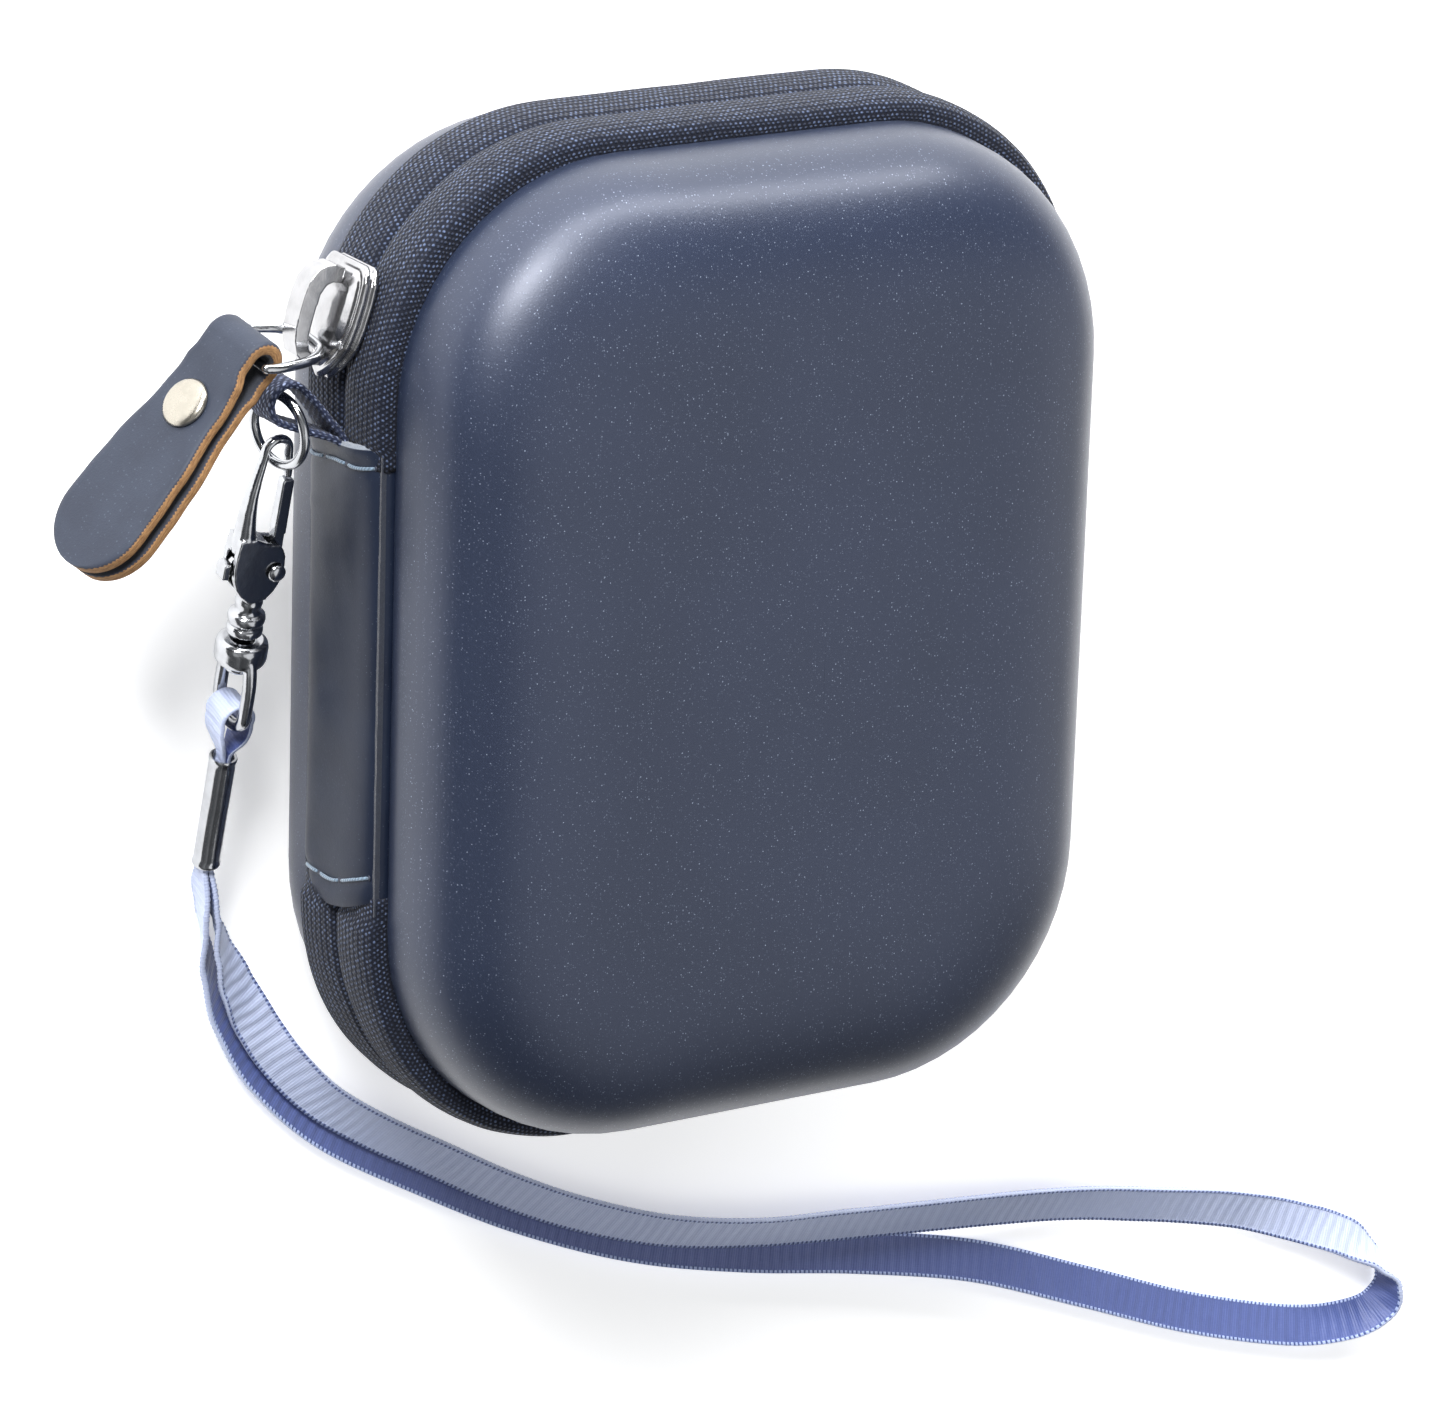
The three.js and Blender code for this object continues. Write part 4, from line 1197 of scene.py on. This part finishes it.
def slider_bridge():
    """Broad arch over the crown that holds the pull's ring."""
    outer = [(3.35, -5.5), (4.6, -5.6), (5.6, -5.3), (6.5, -4.6), (7.1, -3.4), (7.3, -2),
             (7.35, 0), (7.25, 1.7), (6.9, 3.3), (6.3, 4.5), (5.4, 5.05), (4.3, 5.2), (3.4, 5.1)]
    inner = [(3.4, 4.1), (4.5, 4.1), (5.2, 3.6), (5.5, 2.4), (5.55, 0), (5.45, -2.2),
             (5.0, -3.3), (4.3, -3.75), (3.4, -3.8)]
    arch = slab([*outer, *inner], -1.5, 1.5)
    fused("slider_arch", [arch], [SLIDER_NICKEL], 0.1, 5, SLIDER, body="slider", slot="nickel",
          replaced=["slider_bridge"])


# ---------------------------------------------------------------- pull ring and pull strap
EYELET = SLIDER @ Vector((4.25, 2.9, 0))
RING_FRAME = framed(EYELET, (-8.79, 0.22, 1.41), PULL_AXIS)
PULL_FRAME = framed(RING_FRAME @ Vector((RING_REACH, 0, 0)), (-0.631, -0.774, -0.057), PULL_AXIS)
RIVET_PLACE = 7.8
PULL_FACE = 1.75
PULL_END = 22.2  # centre of the pull's round end
PULL_END_RADIUS = 6
LAYER_MIDDLE = 1.0
LAYER_THICKNESS = 1.5


def pull_ring():
    side = [(0, 1.3), (0.7, 2.6), (2.8, 3.9), (6.4, 4.5), (8.5, 4.3), (RING_REACH, 3.5)]
    points = side + [(x, -z) for x, z in reversed(side)]
    path = smooth_path([(x, 0, z) for x, z in points], 160, True)[:-1]
    points, faces = moved(RING_FRAME, tube(path, RING_WIRE, 20, True, (0, 1, 0)))
    add_piece("pull_wire_ring", points, faces, [NICKEL], "pull_link", "nickel", ["pull_ring"])


def pull_half_width(x):
    places = ((-3, 3.6), (1.6, 3.6), (3.6, 4.2), (RIVET_PLACE, 4.6), (15, 5.6), (19, 5.9),
              (PULL_END, PULL_END_RADIUS))
    if x > PULL_END:
        return math.sqrt(max(PULL_END_RADIUS ** 2 - (x - PULL_END) ** 2, 0.002))
    for (a, low), (b, high) in zip(places, places[1:]):
        if x <= b:
            t = (x - a) / (b - a)
            return low + (high - low) * t * t * (3 - 2 * t)
    return PULL_END_RADIUS


def strap_edge(s, share, level):
    """Softened rims and a slight unevenness of the leather's faces."""
    if abs(share) > 0.99:
        return -0.11
    return 0.03 * noise.noise(Vector((s / 5, share * 2, level)))


def pull_strap():
    """Leather strip folded round the ring: both layers, their cut edges and suede inside."""
    ends = [PULL_END + PULL_END_RADIUS * math.sin(math.radians(a))
            for a in (90, 84, 76, 66, 55, 43, 30, 15)]
    straight = [PULL_END, 19, 16, 13, 10.4, 8.6, 7]
    side = [(x, -LAYER_MIDDLE - 0.12 * math.sin((x - 7) / 7)) for x in (*ends, *straight)]
    side += [(5.4, -1.06), (4.3, -1.22), (3, -1.5), (1.8, -1.76)]
    middle = side + arc((0, 0), 1.9, -80, -281, -20) + [(x, -y) for x, y in reversed(side)]
    path = smooth_path([(x, y, 0) for x, y in middle], 620)
    fronts = [-f for f in flat_band(path)]
    halves = [pull_half_width(p.x) for p in path]
    points, faces, uvs, kinds = ribbon(path, fronts, halves, LAYER_THICKNESS, 24, 4,
                                       strap_edge)
    picks = [(0, 1, 2, 1)[kind] for kind in kinds]
    points, faces = moved(PULL_FRAME, (points, faces))
    add_piece("pull_leather_strap", points, faces, [PULL, PULL_EDGE, PULL_BACK], "pull",
              "pull_leather", ["pull_strap"], uvs, picks, 50)


def rivet():
    turn = PULL_FRAME @ Matrix.Translation((RIVET_PLACE, 0, 0))
    rim = -PULL_FACE - 0.04
    dome = [(0.05, rim), (2.3, rim), (2.66, rim - 0.05), (2.76, rim - 0.2), (2.7, rim - 0.42),
            (2.5, rim - 0.62), (2.2, rim - 0.74), (1.7, rim - 0.83), (1.1, rim - 0.89),
            (0.5, rim - 0.92), (0.05, rim - 0.93)]
    points, faces = lathe(dome, 64, turn)
    add_piece("rivet_dome", points, faces, [WARM_NICKEL], "pull", "rivet_metal", ["rivet_cap"])
    seat = PULL_FACE + 0.04
    foot = [(0.05, seat + 0.5), (0.5, seat + 0.45), (0.7, seat + 0.62), (1.7, seat + 0.62),
            (2.3, seat + 0.5), (2.6, seat + 0.25), (2.6, seat), (1.02, seat), (1.02, rim + 0.02),
            (0.05, rim + 0.02)]
    points, faces = lathe(foot, 48, turn)
    add_piece("rivet_foot", points, faces, [WARM_NICKEL], "pull", "rivet_metal", ["rivet_post"],
              crease=50)


# ---------------------------------------------------------------- clasp
HOOK_WIRE = (0.3, -3.7)
CLASP_AXIS = Vector((-0.0145, 0.9561, 0.2928)).normalized()
CLASP_ACROSS = Vector((1, 0.0152, 0)).normalized()
HOOK_TOP = TAB_RING_BOTTOM - CLASP_AXIS * HOOK_WIRE[1] - CLASP_ACROSS * HOOK_WIRE[0]
CLASP_FACE = Vector((0, 0, 1)) - CLASP_AXIS * CLASP_AXIS.z
CLASP = framed(HOOK_TOP, CLASP_AXIS.cross(CLASP_FACE), CLASP_FACE)
PIN = (1.8, -17)


def clasp_body():
    """Cast hook with a rounded shank, two lobes for the gate and a grooved swivel post."""
    hook = [(2.2, -5.75, 0.42, 0.6), (2.08, -4.6, 0.5, 0.62), (1.87, -2.9, 0.5, 0.62)]
    hook += [(x, y, 0.46, 0.6) for x, y in arc((0.48, -2.35), 1.38, 0, 181, 20)]
    hook += [(-1.05, -3.6, 0.47, 0.62), (-1.4, -5.4, 0.55, 0.75), (-1.75, -7.6, 0.7, 0.95),
             (-1.88, -9.6, 0.88, 1.12), (-1.86, -11.6, 1.08, 1.3), (-1.75, -13.4, 1.3, 1.42),
             (-1.6, -14.6, 1.4, 1.4)]
    path = [Vector((x, y, 0)) for x, y, _, _ in hook]
    sizes = [(wide, thick) for _, _, wide, thick in hook]
    shank = tube(path, sizes, 20, False, (0, 0, 1))
    lobe = [(-3.1, -14.2), (-3.2, -16), (-3.05, -17.4), (-2.6, -18.7), (-2, -19.6), (-0.9, -20.6),
            (1.1, -20.5), (1.9, -19.6), (2.45, -18.6), (2.8, -17.4), (2.86, -16.3), (2.75, -15.2),
            (2.4, -14.3), (1.9, -13.75), (0.6, -13.5), (-0.2, -13.3), (-0.9, -12.6), (-2.9, -12.6)]
    front = slab(lobe, 0.75, 1.45)
    back = slab(lobe, -1.45, -0.75)
    roof = slab([(-3.05, -14.1), (-2.9, -12.8), (-0.9, -12.6), (0.7, -13.5), (0.8, -14.1)],
                -1.4, 1.4)
    base = slab([(-2.3, -19.1), (-0.9, -20.6), (1.1, -20.5), (2.1, -19.1)], -1.4, 1.4)
    post = lathe([(0.05, -19.9), (1.3, -20.1), (1.55, -21.2), (1.4, -22), (1.5, -22.4),
                  (2.0, -22.7), (2.1, -23.2), (2.0, -23.7), (1.72, -23.95), (1.72, -24.1),
                  (2.0, -24.35), (2.0, -25), (1.7, -25.3), (1, -25.6), (1, -29.1), (1.6, -29.2),
                  (1.6, -29.7), (1.2, -30.05), (0.05, -30.1)], 32)
    fused("clasp_casting", [shank, front, back, roof, base, post], [NICKEL], 0.13, 3, CLASP,
          body="clasp", slot="nickel", replaced=["clasp_body"])


def clasp_gate():
    """Sprung bar that closes the hook, its blade and the thumb knob."""
    bar = slab([(1.6, -6.05), (2.7, -6.05), (2.82, -6.3), (2.82, -12.9), (1.4, -13.2),
                (1.48, -6.4)], -0.62, 0.62)
    blade = slab([(1.4, -12.6), (2.8, -12.6), (2.9, -15.5), (2.7, -17.4), (1.8, -18.3),
                  (0, -17.6), (-3.4, -17.5), (-3.6, -16.3), (-2.8, -15.3), (1.2, -14.9)],
                 -0.36, 0.36)
    knob = slab([(-4.15, -17.5), (-3.4, -17.6), (-3.3, -15.7), (-4.1, -15.8)], -0.85, 0.85)
    fused("clasp_gate_bar", [bar, blade, knob], [NICKEL], 0.09, 2, CLASP, body="gate",
          slot="nickel", replaced=["clasp_gate"])


def gate_pin():
    half = [(0.05, 2.22), (0.4, 2.2), (0.75, 2.1), (0.98, 1.92), (1.02, 1.75), (0.5, 1.7)]
    profile = half + [(r, -z) for r, z in reversed(half)]
    turn = CLASP @ Matrix.Translation((PIN[0], PIN[1], 0)) @ Matrix.Rotation(math.pi / 2, 4, "X")
    points, faces = lathe(profile, 40, turn)
    add_piece("gate_rivet", points, faces, [NICKEL], "clasp", "nickel", ["gate_pin"], crease=60)


# ---------------------------------------------------------------- swivel, neck loop, ferrule
EYE_BAR_Y = -36.6
EYE_HALF_WIDTH = 2.9
NECK_THICKNESS = 0.42


def swivel_eye():
    """Collar that turns on the clasp's post, with a stirrup for the ribbon."""
    collar = lathe([(1.32, -26.0), (2.3, -25.9), (2.75, -26.2), (2.9, -26.7), (2.9, -28.1),
                    (2.75, -28.6), (2.3, -28.9), (1.32, -28.8), (1.32, -26.0)], 48)
    reach = EYE_HALF_WIDTH - 0.6
    path = [(0, -27.6, -2.1), (0, -28.9, -2.6), (0, -30.5, -EYE_HALF_WIDTH), (0, -32.4, -2.95)]
    for a in range(180, 361, 20):
        angle = math.radians(a)
        path.append((0, EYE_BAR_Y + reach + reach * math.sin(angle),
                     EYE_HALF_WIDTH * math.cos(angle)))
    path += [(0, -32.4, 2.95), (0, -30.5, EYE_HALF_WIDTH), (0, -28.9, 2.6), (0, -27.6, 2.1)]
    bail = tube(smooth_path(path, 90), 0.76, 16, False, (1, 0, 0))
    fused("swivel_stirrup", [collar, bail], [NICKEL], 0.12, 3, CLASP, body="swivel_end",
          slot="nickel", replaced=["swivel_eye"])


def neck_relief(s, share, level):
    curl = 0.1 * share * share * level
    pucker = 0.05 * math.sin(2 * math.pi * s / 1.1 + share)
    return curl + pucker * (1 - share ** 4) + 0.03 * noise.noise(Vector((s, share * 2, 3)))


def neck_loop():
    """Ribbon round the stirrup; both ends are pinched into the ferrule."""
    bend = arc((0, -35.7), 1.72, -20, 201, 20)
    right = [(0.2, -44.3), (0.22, -41.3), (0.5, -40.2), (1.2, -38.6), (1.58, -37.4)]
    left = [(-x, y) for x, y in reversed(right)]
    path = smooth_path([(x, y, 0) for x, y in (*right, *bend, *left)], 260)
    halves = []
    for p in path:
        spread = min(1.0, max(0.0, (p.y + FERRULE_START) / 3.2))
        halves.append(0.75 + 1.15 * spread * spread * (3 - 2 * spread))
    points, faces, uvs, kinds = ribbon(path, flat_band(path), halves, NECK_THICKNESS, 14, 1,
                                       neck_relief)
    points, faces = moved(CLASP, (points, faces))
    picks = [1 if kind == 2 else 0 for kind in kinds]
    add_piece("neck_ribbon_loop", points, faces, [SATIN, SATIN_BACK_AND_SHADE], "swivel_end", "ribbon",
              ["neck_loop"], uvs, picks)


def ferrule():
    start, end = -FERRULE_START, -FERRULE_START - FERRULE_LENGTH
    wall = FERRULE_RADIUS - 0.35
    profile = [(wall, start - 0.1), (wall + 0.1, start - 0.02), (FERRULE_RADIUS - 0.03, start),
               (FERRULE_RADIUS + 0.03, start - 0.12), (FERRULE_RADIUS + 0.03, start - 0.4),
               (FERRULE_RADIUS - 0.04, start - 0.6)]
    steps = [start - 0.6 - (FERRULE_LENGTH - 1.2) * k / 30 for k in range(1, 31)]
    profile += [(FERRULE_RADIUS - 0.04, y) for y in steps]
    profile += [(FERRULE_RADIUS + 0.03, end + 0.4), (FERRULE_RADIUS + 0.03, end + 0.12),
                (FERRULE_RADIUS - 0.03, end), (wall + 0.1, end + 0.02), (wall, end + 0.1),
                (wall, start - 0.1)]
    points, faces = lathe(profile, 48)
    dented = []
    for p in points:
        press = 0.06 * math.exp(-((p.y - start + 9) / 3) ** 2) * max(0.0, p.z) / FERRULE_RADIUS
        dent = press + 0.012 * noise.noise(p / 1.6)
        dented.append(Vector((p.x, p.y, p.z - dent * (1 if p.z > 0 else 0))))
    points, faces = moved(CLASP, (dented, faces))
    add_piece("ferrule_tube", points, faces, [NICKEL], "swivel_end", "nickel", ["ferrule"],
              crease=60)


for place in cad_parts["gate_spring"].material_slots:
    place.material = SPRING
webbing_tab()
tab_ring()
slider_body()
slider_bridge()
pull_ring()
pull_strap()
rivet()
clasp_body()
clasp_gate()
gate_pin()
swivel_eye()
neck_loop()
ferrule()


# ---------------------------------------------------------------- lid pocket
POCKET_INSET = 5.3


def mesh_pocket():
    """Net sheet stretched across the lid, gathered a little towards its elastic."""
    top, width, length = 14.0, 76.4, 64.7
    low = -HALF_LENGTH + POCKET_INSET
    rows, columns = 60, 70
    radius = CORNER_RADIUS - POCKET_INSET * CORNER_SHRINK
    half = HALF_WIDTH - POCKET_INSET
    points, faces, uvs = [], [], []
    for level in (0.0, 0.3):
        for i in range(rows + 1):
            y = low + (top - low) * i / rows
            drop = max(0.0, low + radius - y)
            reach = half - (radius - math.sqrt(max(radius * radius - drop * drop, 0.0)))
            for j in range(columns + 1):
                share = 2 * j / columns - 1
                x = reach * share
                sag = 0.1 * math.cos(share * math.pi / 2) + 0.05 * math.sin(x * 1.7) * i / rows
                points.append(Vector((x, y, BAND_TOP + 0.55 + level - sag)))
    layer = (rows + 1) * (columns + 1)

    def quad(a, b, c, d):
        faces.append((a, b, c, d))
        uvs.append([(points[k].x, points[k].y) for k in (a, b, c, d)])

    for i in range(rows):
        for j in range(columns):
            a = i * (columns + 1) + j
            b, c, d = a + 1, a + columns + 2, a + columns + 1
            quad(a, d, c, b)
            quad(layer + a, layer + b, layer + c, layer + d)
    rim = list(range(columns + 1))
    rim += [(i + 1) * (columns + 1) + columns for i in range(rows)]
    rim += [rows * (columns + 1) + columns - 1 - j for j in range(columns)]
    rim += [(rows - 1 - i) * (columns + 1) for i in range(rows - 1)]
    for a, b in zip(rim, rim[1:] + rim[:1]):
        quad(a, b, layer + b, layer + a)
    piece = add_piece("lid_net_pocket", points, faces, [NET], "front_half", "mesh",
                      ["mesh_pocket"], uvs)


def pocket_elastic():
    """Ruffled elastic band along the pocket's mouth."""
    half = HALF_WIDTH - 5.4
    rings = []
    for i in range(301):
        x = -half + 2 * half * i / 300
        ruffle = 0.1 * math.sin(2 * math.pi * x / 2.1)
        ring = []
        for c, s in circle(20):
            y = 16.25 + 1.85 * math.copysign(abs(c) ** 0.5, c)
            z = 0.3 * math.copysign(abs(s) ** 0.7, s)
            ring.append(Vector((x, y, BAND_TOP + 0.7 + z + ruffle)))
        rings.append(ring)
    points, faces = lattice(rings)
    faces = turned_outward(points, faces)
    uvs = [[(points[i][0], (i % 20) * 0.4) for i in face] for face in faces]
    add_piece("pocket_elastic_band", points, faces, [BINDING], "front_half", "lining",
              ["pocket_elastic"], uvs)


mesh_pocket()
pocket_elastic()


# ---------------------------------------------------------------- light and floor
def area_light(name, place, aim, size, power, tall=None):
    data = bpy.data.lights.new(name, "AREA")
    data.energy = power
    data.size = size
    if tall:
        data.shape = "RECTANGLE"
        data.size_y = tall
    light = bpy.data.objects.new(name, data)
    light.location = Vector(place) * MM
    direction = (Vector(aim) - Vector(place)).normalized()
    light.rotation_euler = direction.to_track_quat("-Z", "Y").to_euler()
    bpy.context.scene.collection.objects.link(light)


WORLD_STRENGTH = 0.4
FLOOR_SIZE = 6
FLOOR_GLOW = 0.42


def studio_world():
    """Bright overhead, with dark flags round the horizon for the metal to reflect."""
    world = bpy.data.worlds.new("studio")
    world.use_nodes = True
    tree = world.node_tree
    coordinates = tree.nodes.new("ShaderNodeTexCoord")
    parts = tree.nodes.new("ShaderNodeSeparateXYZ")
    tree.links.new(coordinates.outputs["Generated"], parts.inputs[0])
    x, y, z = (Field(tree, output) for output in parts.outputs)
    overhead = z.ramp(0.3, 0.95, 0.1, 1.0)
    flags = (x * 5.2 + y * 3.1 + z * 1.7).sin().ramp(-0.3, 0.3, 0.0, 1.0)
    level = overhead * (flags * 0.55 + 0.45) + flags * 0.2
    mix = tree.nodes.new("ShaderNodeMix")
    mix.data_type = "RGBA"
    plug(tree, level, mix.inputs["Factor"])
    mix.inputs[6].default_value = (0.015, 0.018, 0.026, 1)
    mix.inputs[7].default_value = (0.95, 0.97, 1.0, 1)
    background = tree.nodes["Background"]
    tree.links.new(mix.outputs[2], background.inputs["Color"])
    background.inputs["Strength"].default_value = WORLD_STRENGTH
    bpy.context.scene.world = world


def studio():
    studio_world()
    bpy.context.scene.view_settings.view_transform = "Standard"
    area_light("key", (-400, 590, 460), (0, 0, 20), 0.26, 10, tall=0.22)
    area_light("strip", (140, 700, 260), (0, 0, 20), 0.9, 8, tall=0.16)
    area_light("fill", (-700, -100, 700), (0, 0, 20), 0.6, 0.3)
    area_light("rim", (800, -150, 420), (0, 0, 20), 0.5, 1.1)
    area_light("top", (300, -300, 1100), (0, 0, 0), 1.2, 3.5)
    bpy.ops.mesh.primitive_grid_add(x_subdivisions=2, y_subdivisions=2, size=FLOOR_SIZE)
    floor = bpy.context.object
    floor.name = "floor"
    paper = Finish("floor_paper", Roughness=0.9)
    paper.colour(paper.mix(paper.noise(60, 2), (0.93, 0.93, 0.93), (0.95, 0.95, 0.95)))
    paper.set("Emission Strength", FLOOR_GLOW)
    paper.shader.inputs["Emission Color"].default_value = (1, 1, 1, 1)
    floor.data.materials.append(paper.material)


studio()


# ---------------------------------------------------------------- finish
def corners(bounds):
    return [[float(x) for x in corner] for corner in bounds]
